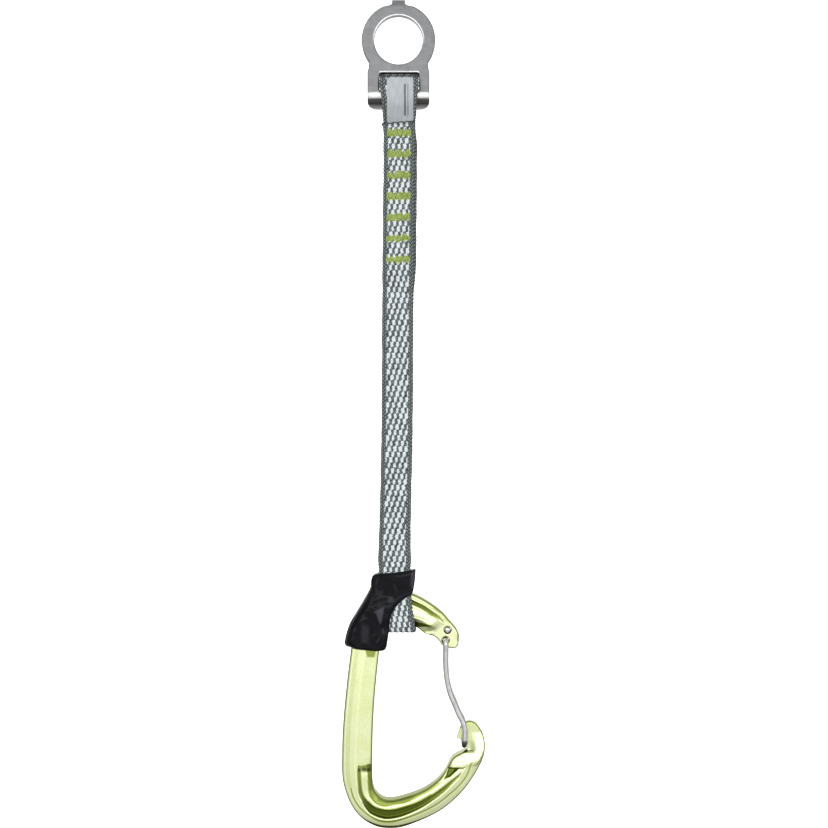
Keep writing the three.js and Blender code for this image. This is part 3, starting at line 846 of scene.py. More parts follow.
def zigzag(z, face_y, side, seed):
    """One tack's thread on one face: two passes of dense, slightly uneven zigzag."""
    random = np.random.default_rng(seed)
    parts = []
    middle = web_x(z)
    for layer, (strokes, reach) in enumerate(((13, 0.98), (10, 0.9))):
        x = np.linspace(-TACK_HALF_WIDTH, TACK_HALF_WIDTH, strokes * 2)
        x = x + random.normal(0, 0.07, len(x))
        ends = np.where(np.arange(len(x)) % 2, 1, -1) * TACK_HALF_HEIGHT * reach
        ends = ends + random.normal(0, 0.3, len(x))
        points = []
        for k in range(len(x) - 1):
            for t in np.linspace(0, 1, 7)[:-1]:
                lift = 0.28 * math.sin(math.pi * t) ** 0.6 + 0.1 * layer
                points.append((
                    middle + mixed(x[k], x[k + 1], t),
                    HANG_Y + side * (face_y + lift),
                    z + TACK_LEAN * x[k] + mixed(ends[k], ends[k + 1], t),
                ))
        parts.append(sweep(smooth_curve(points[::2], 0.3), THREAD_RADIUS, sides=7))
    return parts


def merged(parts):
    """Several sweeps' points, faces and maps as one."""
    points, faces, uv = zip(*parts)
    first = np.cumsum([0] + [len(p) for p in points])
    faces = [group + start for groups, start in zip(faces, first) for group in groups]
    return np.vstack(points), faces, np.vstack(uv)


def make_bartacks():
    thread = thread_material()
    for k, z in enumerate(tack_heights()):
        parts = zigzag(z, TACK_FRONT_Y, -1, 10 + k) + zigzag(z, TACK_BACK_Y, 1, 30 + k)
        piece = mesh_object(f"bartack_stitches_{k + 1}", *merged(parts))
        stands_for(piece, thread, "thread", f"bartack_{k + 1}")
        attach(piece, "sling_upper")


def thread_material():
    material, tree = new_material("tack_thread")
    flat = tree.flat()
    u, v, _ = tree.apart(flat)
    twist = tree.math("SINE", tree.plus(tree.times(u, 6.0), tree.times(v, 5.0)))
    patches = tree.noise(flat, 0.8, 3.0)
    colour = tree.mix(tree.spread(patches, 0.35, 0.65), (0.19, 0.28, 0.035, 1), (0.45, 0.54, 0.15, 1))
    # Painted shade in the twist's grooves
    colour = tree.mix(tree.spread(twist, -1.0, 0.3, 0.45, 0.0), colour, (0.12, 0.19, 0.02, 1))
    tree.look({
        "Base Color": colour,
        "Roughness": tree.spread(patches, 0.3, 0.7, 0.5, 0.68),
        "Sheen Weight": 0.2,
        "Specular IOR Level": 0.4,
        "Normal": tree.bump(twist, 0.00004, 0.6),
    })
    return material


LABEL_HALF_WIDTH = 5.25
LABEL_MIDDLE_X = 0.7
LABEL_HALF_THICKNESS = 0.14
LABEL_CORNER = 1.5
LABEL_STAND = 0.18
LABEL_TOP_ANGLE = 142
LABEL_END_Z = -34.6
# The printed stripes: their middle across the label, and half their width
STRIPES = ((1.9, 0.42), (3.1, 0.16))
STRIPE_MIDDLE_V = 9.5
STRIPE_HALF_LENGTH = 6.2


def make_label():
    """A satin tag over the loop's top and front, with its lower end tucked under the strap's end."""
    base = loop_round_bar[::-1]
    along = directions(base)
    outward = np.column_stack([along[:, 1], -along[:, 0]])
    stand = WEB_HALF_THICKNESS + LABEL_STAND - 0.02 * np.sin(np.linspace(0, 9, len(base)))
    path = base + outward * stand[:, None]
    angle = np.degrees(np.arctan2(base[:, 1] - LOOP_TOP_Z, base[:, 0]))
    past_top = (angle > LABEL_TOP_ANGLE) | (base[:, 1] < LOOP_TOP_Z)
    path = resample(path[(base[:, 0] < 0.5) & past_top & (base[:, 1] > LABEL_END_Z)], 0.25)
    length = lengths_along(path)
    across = np.linspace(-1, 1, 45)
    rows, maps = [], []
    for k, (y, z) in enumerate(path):
        from_top = min(length[k], LABEL_CORNER)
        cut = LABEL_CORNER - math.sqrt(max(LABEL_CORNER ** 2 - (LABEL_CORNER - from_top) ** 2, 0))
        half = LABEL_HALF_WIDTH - cut * 0.9
        x = LABEL_MIDDLE_X + across * half
        bow = 0.12 * (across ** 2) * math.sin(length[k] / 4)
        rows.append(np.column_stack([x, np.full_like(x, y) + HANG_Y - bow, np.full_like(x, z)]))
        maps.append(np.column_stack([across * half, np.full_like(x, length[k])]))
    grid = np.array(rows)
    tangent = np.gradient(grid, axis=0)
    widthways = np.gradient(grid, axis=1)
    normal = np.cross(widthways, tangent)
    normal /= np.linalg.norm(normal, axis=2, keepdims=True)
    taper = np.sqrt(np.clip(1 - np.abs(across) ** 24, 0.02, 1))[None, :, None]
    front = (grid + normal * LABEL_HALF_THICKNESS * taper).reshape(-1, 3)
    back = (grid - normal * LABEL_HALF_THICKNESS * taper).reshape(-1, 3)
    r, c = len(path), len(across)
    i, j = np.meshgrid(np.arange(r - 1), np.arange(c - 1), indexing="ij")
    first = (i * c + j).ravel()
    top = np.column_stack([first, first + 1, first + c + 1, first + c])
    border = np.concatenate([
        np.arange(c - 1), np.arange(r - 1) * c + c - 1,
        (r - 1) * c + np.arange(c - 1, 0, -1), np.arange(r - 1, 0, -1) * c,
    ])
    after = np.roll(border, -1)
    wall = np.column_stack([after, border, border + r * c, after + r * c])
    uv = np.array(maps).reshape(-1, 2)
    piece = mesh_object("satin_label", np.vstack([front, back]),
                        [top, top[:, ::-1] + r * c, wall], np.vstack([uv, uv]), crease=60)
    stands_for(piece, label_material(), "label", "label")
    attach(piece, "sling_upper")


def label_material():
    """Satin ribbon with two plain printed stripes near one edge."""
    material, tree = new_material("satin_ribbon")
    flat = tree.flat()
    u, v, _ = tree.apart(flat)
    ribs = tree.math("SINE", tree.times(v, 22.0))
    cross = tree.math("SINE", tree.times(u, 30.0))
    cloud = tree.streaks(flat, (0.9, 0.25, 1), 3.0)
    satin = tree.mottled(cloud, (0.385, 0.41, 0.44, 1), (0.465, 0.49, 0.52, 1))
    printed = tree.largest(
        tree.spread(tree.size(tree.minus(u, place)), half + 0.05, half - 0.05)
        for place, half in STRIPES
    )
    ends = tree.size(tree.minus(v, STRIPE_MIDDLE_V))
    printed = tree.times(printed, tree.spread(ends, STRIPE_HALF_LENGTH + 0.1, STRIPE_HALF_LENGTH))
    tree.look({
        "Base Color": tree.mix(printed, satin, (0.12, 0.14, 0.15, 1)),
        "Roughness": tree.spread(cloud, 0.3, 0.7, 0.36, 0.5),
        "Sheen Weight": 0.2,
        "Anisotropic": 0.4,
        "Normal": tree.bump(tree.plus(ribs, cross), 0.00002, 0.5),
    })
    return material


# ---------------------------------------------------------------- hanger

PLATE_HALF = 1.5
BEND_TOP = -20.4
BEND_INNER = 3.3
BEND_MIDDLE = BEND_INNER + PLATE_HALF
RING_RADIUS = 14.7
RING_TOP = 13.5
EYE_RADIUS = 9.65
NECK_HALF = 11.8
BODY_HALF = 12.4
SLOT_HALF = 7.9
SLOT_MIDDLE = 0.3
SLOT_TOP = -13.08
TAB_TOP = 17.9
TAB_BEND_Z = 13.2


def plate_outline():
    """The plate's outline with its bend rolled flat, in (x, s)."""
    bottom = BEND_TOP - BEND_MIDDLE * math.pi / 2
    corner = 4.2
    ring_end = math.degrees(math.asin(RING_TOP / RING_RADIUS))
    ring_start = -math.degrees(math.acos(NECK_HALF / RING_RADIUS))
    right = np.vstack([
        resample([(0, bottom), (BODY_HALF - corner, bottom)], 0.4)[:-1],
        arc((BODY_HALF - corner, bottom + corner), corner, 270, 360, 18)[:-1],
        resample([(BODY_HALF, bottom + corner), (BODY_HALF, SLOT_TOP + 0.2)], 0.4)[:-1],
        smooth_curve([(BODY_HALF, SLOT_TOP + 0.2), (NECK_HALF + 0.2, SLOT_TOP + 1.8),
                      (NECK_HALF, -9.6), (RING_RADIUS * math.cos(math.radians(ring_start)),
                                          RING_RADIUS * math.sin(math.radians(ring_start)))], 0.4)[:-1],
        arc((0, 0), RING_RADIUS, ring_start, ring_end, 90)[:-1],
        smooth_curve([(RING_RADIUS * math.cos(math.radians(ring_end)), RING_TOP), (4.6, 13.75),
                      (3.5, 14.3), (2.85, 15.2), (2.6, 16.4), (2.6, TAB_TOP)], 0.35)[:-1],
        resample([(2.6, TAB_TOP), (0, TAB_TOP)], 0.4),
    ])
    left = right[-2:0:-1] * (-1, 1)
    return np.vstack([right, left])


def slot_outline():
    low, high, corner = BEND_TOP + 0.1, SLOT_TOP, 0.9
    parts = []
    for sx, sz, start in ((1, 1, 0), (-1, 1, 90), (-1, -1, 180), (1, -1, 270)):
        centre = (SLOT_MIDDLE + sx * (SLOT_HALF - corner), (high if sz > 0 else low) - sz * corner)
        parts.append(arc(centre, corner, start, start + 90, 6))
    ring = np.vstack(parts)
    return resample(np.vstack([ring, ring[:1]]), 0.35)[:-1]


def bent(points):
    """Rolls the flat sheet's lower end back round its bend, and leans its tab back."""
    x, n, s = points.T
    turn = np.clip((BEND_TOP - s) / BEND_MIDDLE, 0, math.pi / 2)
    radius = BEND_MIDDLE - n
    y = np.where(turn > 0, BEND_MIDDLE - radius * np.cos(turn), n)
    z = np.where(turn > 0, BEND_TOP - radius * np.sin(turn), s)
    lean = np.maximum(s - TAB_BEND_Z, 0)
    tilt = 0.6 * ease(lean / 1.6)
    y = y + lean * np.sin(tilt)
    z = np.where(lean > 0, TAB_BEND_Z + lean * np.cos(tilt) * 0.93, z)
    return np.column_stack([x, y, z])


CHAMFER_WIDTH = 0.6
CHAMFER_DEPTH = 0.2


def hanger_painted_light(points):
    """Where highlights and shade are painted on the sheet, from its points before bending."""
    x, n, s = points.T
    to_eye = np.hypot(x, s) - EYE_RADIUS
    front = n < -0.9
    arch = ease((s + 3) / 6)
    # Painted highlights on the upper half of the eye's front chamfer, the back edge of the eye's wall, and
    # the slot's top chamfer
    painted_steel_highlight = 0.85 * front * ease((CHAMFER_WIDTH + 0.05 - to_eye) / 0.12) * arch
    painted_steel_highlight = np.maximum(painted_steel_highlight, 0.4 * (n > 0.1) * (to_eye < 0.1) * arch)
    slot_edge = SLOT_TOP + CHAMFER_WIDTH + 0.05 - s
    over_slot = (s > SLOT_TOP - 0.1) * (np.abs(x - SLOT_MIDDLE) < SLOT_HALF - 0.3)
    painted_steel_highlight = np.maximum(painted_steel_highlight, 0.85 * front * ease(slot_edge / 0.12) * over_slot)
    # Round the bend: a painted highlight near its top, a painted dark band below it, and a painted highlight
    # on the far rim
    degrees = np.degrees((BEND_TOP - s) / BEND_MIDDLE)
    outside = n < -0.3
    painted_steel_highlight = np.maximum(painted_steel_highlight, 0.8 * outside * ease((degrees - 3) / 7) * ease((28 - degrees) / 5))
    painted_steel_highlight = np.maximum(painted_steel_highlight, 0.7 * outside * ease((degrees - 50) / 8))
    painted_steel_shade = outside * ease((degrees - 24) / 5) * ease((56 - degrees) / 8)
    return painted_steel_highlight, painted_steel_shade


def make_hanger():
    outline = plate_outline()
    eye = circle((0, 0), EYE_RADIUS, 150)
    slot = slot_outline()

    def half_at(points):
        edge = away_from(points, outline, closed=True)
        to_eye = np.hypot(*points.T) - EYE_RADIUS
        to_slot = away_from(points, slot, closed=True)
        lip = PLATE_HALF - 0.34 * (1 - ease(edge / 0.5))
        for gap in (to_eye, to_slot):
            lip -= CHAMFER_DEPTH * np.clip(1 - gap / CHAMFER_WIDTH, 0, 1)
            lip -= 0.25 * np.clip(1 - gap / 0.2, 0, 1) ** 2
        dents = 0.012 * np.sin(points[:, 0] * 1.7 + points[:, 1]) * np.sin(points[:, 1] * 2.3)
        return lip + dents

    points, faces = relief([outline, eye, slot], half_at, spacing=0.5, rim=(0.1, 0.2, 0.4, 0.6, 0.8))
    painted_steel_highlight, painted_steel_shade = hanger_painted_light(points)
    piece = mesh_object("hanger_sheet", bent(points), faces, fields={"painted_steel_highlight": painted_steel_highlight, "painted_steel_shade": painted_steel_shade}, crease=50)
    stands_for(piece, steel_material(), "steel", "hanger_plate")
    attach(piece, "hanger")


def steel_material():
    """Stamped sheet, tumbled to a soft grey: fine scratches every way, and tiny pits."""
    material, tree = new_material("tumbled_steel")
    place = tree.position()
    scratches = tree.largest(
        tree.spread(tree.streaks(place, (0.35, 1, 7.0 + k), 4.0, turn), 0.5, 0.68)
        for k, turn in enumerate((0.2, 1.1, 2.0, 2.7))
    )
    cloud = tree.noise(place, 0.35, 4.0)
    grain = tree.noise(place, 5.0, 3.0)
    colour = tree.mottled(cloud, (0.205, 0.209, 0.213, 1), (0.25, 0.255, 0.263, 1))
    colour = tree.mix(tree.times(scratches, 0.25), colour, (0.34, 0.345, 0.35, 1))
    # Painted shade: the dark band round the bend
    colour = tree.mix(tree.field("painted_steel_shade"), colour, (0.13, 0.13, 0.125, 1))
    painted_steel_highlight = tree.field("painted_steel_highlight")
    satin = tree.spread(grain, 0.2, 0.8, 0.36, 0.5)
    height = tree.plus(grain, tree.times(scratches, -0.5))
    # Painted highlights on the chamfers and round the bend, where the steel is also made glossier
    tree.look({
        "Base Color": tree.mix(painted_steel_highlight, colour, (0.84, 0.84, 0.835, 1)),
        "Metallic": 1,
        "Roughness": tree.spread(painted_steel_highlight, 0.0, 1.0, satin, 0.24),
        "Normal": tree.bump(height, 0.00003, 0.5),
    })
    return material


# ---------------------------------------------------------------- carabiner body

FULL_HALF = 4.5
NOSE_HALF = 3.0
HOOK_HALF = 1.5
PIVOT = (18.8, 75.0)
REAR_HOLE = (19.6, 79.0)
HOLE_RADIUS = 1.42
CROSSPIECE = (26.3, 32.8)
STEP_H = 24.6
SPINE_TOP = 74
HOOK_TOP = 45

outer_edge = smooth_curve([
    (24.2, 77), (23.1, 79.4), (20.7, 82.3), (17.4, 86), (13.3, 89.2), (9.2, 91.7), (5.2, 93.5),
    (-0.6, 94.9), (-5.4, 94.6), (-9.8, 92.4), (-13.8, 88.2), (-16.8, 82.8), (-18.2, 76.8),
    (-19.1, 70.1), (-20.5, 58.8), (-22, 42.8), (-22.5, 31), (-22.1, 18.4), (-18.7, 8.9), (-14.4, 3.7),
    (-8.8, 0.6), (-4.8, -0.1), (0.5, 0.15), (7.4, 2.4), (16.4, 6.7), (23, 11.9), (27.4, 16.8),
    (31.6, 23.3), (33.9, 28.3), (34.6, 32.8), (33.8, 37.1), (32.4, 39.6), (30.8, 41.5), (28.9, 42.3),
    (27.0, 42.0), (25.6, 41.1), (24.7, 39.7),
], 0.4)
inner_edge = smooth_curve([
    (27.2, 31), (24.6, 29.7), (22.3, 28.4), (20.9, 26.8), (18.6, 22.5), (15.2, 18.5), (9.7, 14.8),
    (3, 12.3), (-3.1, 11), (-6.4, 11.6), (-9.3, 14.3), (-10.3, 17.4), (-10.5, 26.3), (-10.35, 37.1),
    (-9.7, 50.1), (-7.7, 70.4), (-6.7, 76.8), (-6.4, 79.9), (-4.6, 81.3), (0.6, 81.2), (7.2, 80.1),
    (10.5, 77.8), (14.6, 76.2), (16.2, 74.6), (17.4, 72.9), (20.3, 71.8), (23.3, 72.1), (24.2, 74.6),
], 0.4)
# The forging's lines: the groove behind the basket's flange, a crease to each side of it, and the arm's
basket_groove = smooth_curve([
    (-15.8, 25.2), (-15.6, 22.4), (-15.4, 18.1), (-14.9, 13.9), (-13.9, 11.8), (-12.6, 9.7), (-10.4, 7.4),
    (-5.4, 5.7), (-1.4, 5.95), (2.1, 6.9), (8, 9.2), (12.7, 12), (17.4, 15.3), (20.9, 18.4), (23.5, 20.7),
    (25.1, 22.6),
], 0.4)
outer_crease = smooth_curve([
    (-18.9, 16), (-18.1, 12.8), (-16, 9.2), (-12.8, 6.1), (-8.6, 3.6), (-5.4, 2.9), (-1.4, 3.1), (8, 6.1),
    (15, 9.6), (19.7, 13.2), (24.4, 17.5), (27.5, 21.9), (29.1, 26.4),
], 0.4)
inner_crease = smooth_curve([
    (-12.1, 19), (-11.7, 14), (-11.2, 12.6), (-9.6, 10.6), (-7.5, 9.4), (-5.4, 9), (-1.4, 9.7), (3.3, 10.6),
    (8, 12.9), (12.7, 15.3), (17.2, 18.6),
], 0.4)
arm_groove = smooth_curve([
    (-2, 92), (3, 91.2), (6.7, 89.75), (8.7, 88.8), (11, 87.5), (13.3, 85.9), (15.6, 84.4), (17.9, 82.6),
], 0.4)
arm_upper_crease = smooth_curve([
    (1, 93.4), (5.7, 92), (8.7, 90.5), (11.8, 88.8), (14.9, 87), (17.9, 84.2), (20.2, 82),
], 0.4)
arm_lower_crease = smooth_curve([(3, 89.5), (7, 87.9), (11.8, 85.6), (15.6, 82.7), (18.2, 81)], 0.4)
arm_fan = (
    smooth_curve([(4, 87.2), (7.2, 86.1), (12.1, 83.8)], 0.4),
    smooth_curve([(4, 85.2), (7.2, 84.4), (12.1, 82.9)], 0.4),
)
pocket_top = [
    (-16.1, 25.6), (-13.5, 26.1), (-11.3, 26.6), (-11.5, 24.6), (-13.2, 22.7), (-14.2, 23), (-15.9, 24.4),
]
pocket_end = [(20.1, 24.6), (25.1, 24.6), (22.9, 22.6), (20.9, 20.7), (17.6, 19.2), (18.8, 21.4)]
panel_top = [(-13.9, 72), (-12.8, 68), (-9.0, 68), (-8.2, 72)]
arm_shadow = [(5.5, 83.2), (7, 82.8), (15.2, 80.9), (12.5, 80.4), (9.9, 80.2), (7.4, 80), (5.5, 80.2)]


def body_outline():
    hook = np.vstack([
        resample([(24.7, 39.7), (23.2, 35.4)], 0.4)[1:-1],
        resample([(23.2, 35.4), (24.9, 35.3)], 0.4)[:-1],
        arc((CROSSPIECE[0], CROSSPIECE[1] + 1.1), 1.35, 120, 0, 10),
        resample([(27.65, 33.5), (27.65, 31.8)], 0.4)[:-1],
        resample([(27.65, 31.8), (27.2, 31)], 0.4)[:-1],
    ])
    return np.vstack([outer_edge, hook, inner_edge[:-1]])


def filled(points, corners, soft):
    """1 well inside a polygon and 0 outside, rising over a depth of soft from its edge."""
    depth = away_from(points, corners, closed=True)
    return ease(depth / soft) * inside(points, [np.array(corners, float)])


def line_at(distance, width):
    return np.exp(-(distance / width) ** 2)


def on_arm(points):
    """Which points are on the top arm."""
    return (points[:, 1] > 78) & (points[:, 0] > -4)


def groove_widths(along):
    """Half the basket groove's width, from its upper end by the spine to its end by the hook."""
    travel = along / lengths_along(basket_groove)[-1]
    return np.interp(
        travel,
        [0, 0.12, 0.23, 0.27, 0.32, 0.41, 0.535, 0.64, 0.73, 0.825, 0.9, 0.96, 1],
        [0.45, 0.5, 0.7, 0.95, 1.3, 1.5, 1.35, 1.05, 0.85, 0.72, 0.52, 0.34, 0.12],
    )


def body_half_at(points):
    """Half the forging's thickness at each point."""
    x, h = points.T
    from_outer = away_from(points, outer_edge)
    from_inner = away_from(points, inner_edge)
    across, along = nearest_on(points, basket_groove)

    # Facets from the outer edge inwards, then the inner edge's rounding
    outer = np.interp(
        from_outer,
        [0, 0.25, 0.7, 2.9, 3.1, 5.5, 5.9],
        [2.3, 2.95, 3.35, 3.9, 3.88, 4.4, FULL_HALF],
    )
    basket = ease((30 - h) / 8) * (x > -16)
    spine_round = np.interp(from_inner, [0, 0.2, 0.6], [3.5, 4.1, FULL_HALF])
    basket_round = np.interp(from_inner, [0, 0.4, 1.0, 2.0], [2.4, 3.3, 3.9, FULL_HALF])
    half = np.minimum(outer, mixed(spine_round, basket_round, basket))

    # The basket: a groove behind the outer flange, then a lower ridge and the rounded bearing edge
    below = ease((STEP_H - h) / np.where(x < 0, 2.2, 0.8))
    width = groove_widths(along)
    wall = ease((np.abs(across) - 0.7 * width) / (0.6 * width + 0.3))
    groove = mixed(FULL_HALF - 0.5 - 1.1 * width, FULL_HALF, wall)
    inward = np.maximum(across - width - 0.5, 0) * (from_inner < 8)
    scoop = 0.35 * ease(1 - (STEP_H - h) / 4.5)
    ridge = 4.1 - 0.10 * inward - 0.05 * inward ** 2 - scoop
    on_ridge = (across > 0) & (h < STEP_H + 1)
    lowered = np.minimum(half, groove)
    lowered = np.where(on_ridge, np.minimum(lowered, ridge), lowered)
    half = mixed(half, np.minimum(half, lowered), below)
    half -= 0.8 * filled(points, pocket_end, 1.0)

    # The top arm: one groove along its outer flange, and a long bevel underneath
    off, _ = nearest_on(points, arm_groove)
    arm_wall = ease((np.abs(off) - 0.5) / 0.7)
    arm = on_arm(points)
    cut = mixed(3.1, FULL_HALF, arm_wall)
    ends = ease((18.2 - x) / 2.5)
    half = np.where(arm, mixed(half, np.minimum(half, cut), ends), half)
    bevel = np.interp(from_inner, [0, 2.6, 3.6], [2.6, 3.9, FULL_HALF])
    half = np.where(arm, np.minimum(half, bevel), half)
    for crease in (outer_crease, inner_crease, arm_upper_crease, arm_lower_crease, *arm_fan):
        half -= 0.09 * line_at(nearest_on(points, crease)[0], 0.3)

    # The nose, the hook's plate and the hook's thin tip are flat
    to_nose = ((x - 12.5) * 8 - (h - 78) * 7.5) / math.hypot(8, 7.5)
    nose = ease((to_nose + 2.4) / 4.4) * (h > 66)
    edge = np.minimum(from_outer, from_inner)
    flat_round = np.interp(edge, [0, 0.15, 0.45], [0.72, 0.9, 1.0])
    half = mixed(half, np.minimum(half, NOSE_HALF * flat_round), nose)
    plate = ease((h - STEP_H) / 3) * (x > 14) * (h < 50)
    plate_half = mixed(FULL_HALF, 1.8, np.clip((h - STEP_H) / 13.4, 0, 1)) * flat_round
    slope = np.interp(from_outer, [0, 0.25, 0.8, 1.9], [2.4, 2.9, 3.4, FULL_HALF])
    half = mixed(half, np.minimum(slope, plate_half), plate)
    tip = ease((31.6 - x) / 3.6) * ease((h - 30.2) / 0.8) * (h < 50) * (x > 20)
    half = mixed(half, HOOK_HALF * flat_round, tip)
    for hole in (PIVOT, REAR_HOLE):
        away = np.hypot(x - hole[0], h - hole[1]) - HOLE_RADIUS
        half = half - 0.3 * np.clip(1 - away / 0.3, 0, 1)
    return half


def spine_tones(x, h, from_outer):
    """Painted shade and highlights along the spine's long facets."""
    spine = (x < 0) & (h < SPINE_TOP) & (h > 14)
    painted_shade = [
        spine * 0.2 * ease((from_outer - 1.4) / 0.3) * ease((3.1 - from_outer) / 0.3),
        spine * (h > 16) * 0.3 * line_at(from_outer - 3.05, 0.2),
        spine * 0.07 * ease((from_outer - 5.9) / 0.3),
    ]
    painted_highlight = spine * 0.5 * line_at(from_outer - 1.1, 0.3)
    painted_highlight += (x < 0) * (h < SPINE_TOP) * (h > 4) * 0.8 * line_at(from_outer - 5.4, 0.3)
    return painted_shade, painted_highlight


def basket_tones(points, from_inner, bottom):
    """Painted shade and highlights on the basket's groove, its shoulder, and the creases to each side of
    them.
    """
    x, h = points.T
    in_basket = (h < 26) & (x < 30)
    across, along = nearest_on(points, basket_groove)
    width = groove_widths(along)
    travel = along / lengths_along(basket_groove)[-1]
    depth = np.interp(travel, [0, 0.2, 0.3, 0.55, 0.75, 1], [0.72, 0.78, 1.0, 1.0, 0.85, 0.72])
    groove = depth * ease((width + 0.25 - np.abs(across)) / 0.5)
    shoulder = 0.6 * depth * ease((across - 0.2) / 0.8) * ease((width + 1.7 - across) / 1.3)
    to_outer, _ = nearest_on(points, outer_crease)
    to_inner, _ = nearest_on(points, inner_crease)
    band = in_basket * (to_inner > 0) * (from_inner < 3.2)
    band_share = np.interp(x, [-12, -9, 4, 14, 18], [1, 0.9, 1, 0.5, 0])
    painted_shade = [
        in_basket * np.maximum(groove, shoulder * (travel > 0.25) * (travel < 0.75)),
        in_basket * (across > 0) * (from_inner > 2.5) * 0.12,
        (0.6 + 0.25 * bottom) * line_at(to_outer, 0.36 + 0.25 * bottom) * (h < 26.4),
        band * 0.78 * ease(to_inner / 0.35) * band_share,
        0.72 * line_at(to_inner, 0.22) * in_basket,
    ]
    painted_highlight = in_basket * 0.5 * line_at(-across - width - 0.55, 0.3) * (travel < 0.97)
    painted_highlight += 0.7 * line_at(np.abs(to_outer) - 0.75, 0.28) * (h < 24 - 0.5 * (x < -12))
    painted_highlight += in_basket * 0.35 * line_at(to_inner + 0.6, 0.28) * (from_inner < 5)
    return painted_shade, painted_highlight


def arm_tones(points, from_inner):
    """Painted shade and highlights on the top arm's groove and its creases."""
    x, _ = points.T
    arm = on_arm(points)
    off, _ = nearest_on(points, arm_groove)
    narrow = np.interp(x, [6, 14, 18.2], [0.78, 0.66, 0.28])
    depth = np.interp(x, [6, 14, 18], [0.92, 0.78, 0.5])
    painted_shade = [
        arm * depth * ease((narrow + 0.2 - np.abs(off)) / 0.4) * (x < 18),
        arm * 0.75 * ease(1 - from_inner / 0.9) * (x < 16),
    ]
    for line, tone, thin in ((arm_upper_crease, 0.5, 0.28), (arm_lower_crease, 0.34, 0.2),
                             (arm_fan[0], 0.34, 0.25), (arm_fan[1], 0.34, 0.25)):
        painted_shade.append(tone * line_at(nearest_on(points, line)[0], thin) * (x < 20))
    return painted_shade, arm * 0.6 * line_at(np.abs(off) - narrow - 0.5, 0.25)


def body_tones(points):
    """Where shade is painted in the forging's hollows, along its edges and creases and below its steps, and
    where highlights are painted on its ridges.
    """
    x, h = points.T
    from_outer = away_from(points, outer_edge)
    from_inner = away_from(points, inner_edge)
    bottom = ease((6.5 - h) / 6)

    painted_shade = [
        (0.75 + 0.25 * bottom) * ease((0.72 + 0.95 * bottom - from_outer) / 0.5),
        0.7 * ease(1.2 - from_inner / 0.6),
        0.2 * (x > 19) * ease((h - 25.5) / 2) * (h < HOOK_TOP),
    ]
    painted_highlight = 0.6 * line_at(h - 25.3, 0.3) * (x > 20) * (x < 27)
    for part_shade, part_highlight in (
        spine_tones(x, h, from_outer),
        basket_tones(points, from_inner, bottom),
        arm_tones(points, from_inner),
    ):
        painted_shade += part_shade
        painted_highlight = painted_highlight + part_highlight
    # Painted shadows below the steps at the pocket's ends and the panel's top, and under the top arm
    for corners, tone, soft in (
        (pocket_top, 0.7, 0.9), (pocket_end, 0.88, 0.18), (panel_top, 0.6, 0.9), (arm_shadow, 1.0, 0.45),
    ):
        painted_shade.append(tone * filled(points, corners, soft))
    # Painted shade round the holes
    for hole in (PIVOT, REAR_HOLE):
        away = np.hypot(x - hole[0], h - hole[1]) - HOLE_RADIUS
        painted_shade.append(0.85 * ease(1 - away / 0.35))
    return np.max(painted_shade, axis=0), np.clip(painted_highlight, 0, 1)


def raised(points):
    """From the carabiner's (x, y, h) to the row frame."""
    return points + (0, HANG_Y, FOOT_Z)


def make_carabiner():
    loops = [body_outline(), circle(PIVOT, HOLE_RADIUS), circle(REAR_HOLE, HOLE_RADIUS)]
    guides = [outer_crease, inner_crease, arm_upper_crease, arm_lower_crease]
    points, faces = relief(loops, body_half_at, spacing=0.32, guides=guides)
    plan = points[:, [0, 2]]
    painted_shade, painted_highlight = body_tones(plan)
    face = np.abs(points[:, 1]) > body_half_at(plan) - 0.01
    x, h = plan.T
    # Painted shade on the side walls: darker towards the bottom, lighter by the hook
    wall = np.where((x > 14) & (h > 22) & (h < HOOK_TOP), 0.1, 0.16 + 0.24 * ease((22 - h) / 6))
    fields = {"painted_shade": np.where(face, painted_shade, wall), "painted_highlight": painted_highlight * face}
    piece = mesh_object("carabiner_forging", raised(points), faces, fields=fields)
    stands_for(piece, anodised_material(), "anodised", "carabiner_body")
    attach(piece, "carabiner")


def anodised_material():
    """Pale lime anodising over a forging: satin, with painted shade in its hollows and painted highlights on
    its ridges.
    """
    material, tree = new_material("lime_anodising")
    place = tree.position()
    drawn = tree.streaks(place, (5.0, 5.0, 0.5), 4.0)
    cloud = tree.noise(place, 0.12, 3.0)
    specks = tree.spread(tree.noise(place, 2.6, 5.0), 0.66, 0.74)
    light = tree.mottled(cloud, (0.74, 0.80, 0.42, 1), (0.79, 0.84, 0.52, 1))
    light = tree.mix(tree.times(specks, 0.08), light, (0.62, 0.70, 0.30, 1))
    # Painted highlights on the ridges
    light = tree.mix(tree.field("painted_highlight"), light, (0.88, 0.95, 0.52, 1))
    # Painted shade in the hollows, along the edges and below the steps
    painted_shade = tree.field("painted_shade")
    colour = tree.mix(tree.spread(painted_shade, 0.0, 0.62), light, (0.35, 0.42, 0.1, 1))
    tree.look({
        "Base Color": tree.mix(tree.spread(painted_shade, 0.4, 1.0), colour, (0.072, 0.098, 0.006, 1)),
        "Metallic": 1,
        "Roughness": tree.spread(drawn, 0.2, 0.8, 0.24, 0.36),
        "Coat Weight": 0.15,
        "Coat Roughness": 0.2,
        "Normal": tree.bump(drawn, 0.00002, 0.35),
    })
    return material


# ---------------------------------------------------------------- gate wire

WIRE_RADIUS = 1.1
LEG_WIDE = NOSE_HALF + 0.3 + WIRE_RADIUS
LEG_NARROW = HOOK_HALF + 0.4 + WIRE_RADIUS
LEG_TAPER = (42, 72)

leg_line = [
    (18.9, 72), (18.9, 66), (19.3, 59.9), (20.7, 53.7), (22.4, 49.6), (24.1, 45.5), (25.7, 42.3),
    (26.5, 39), (26.5, 36),
]


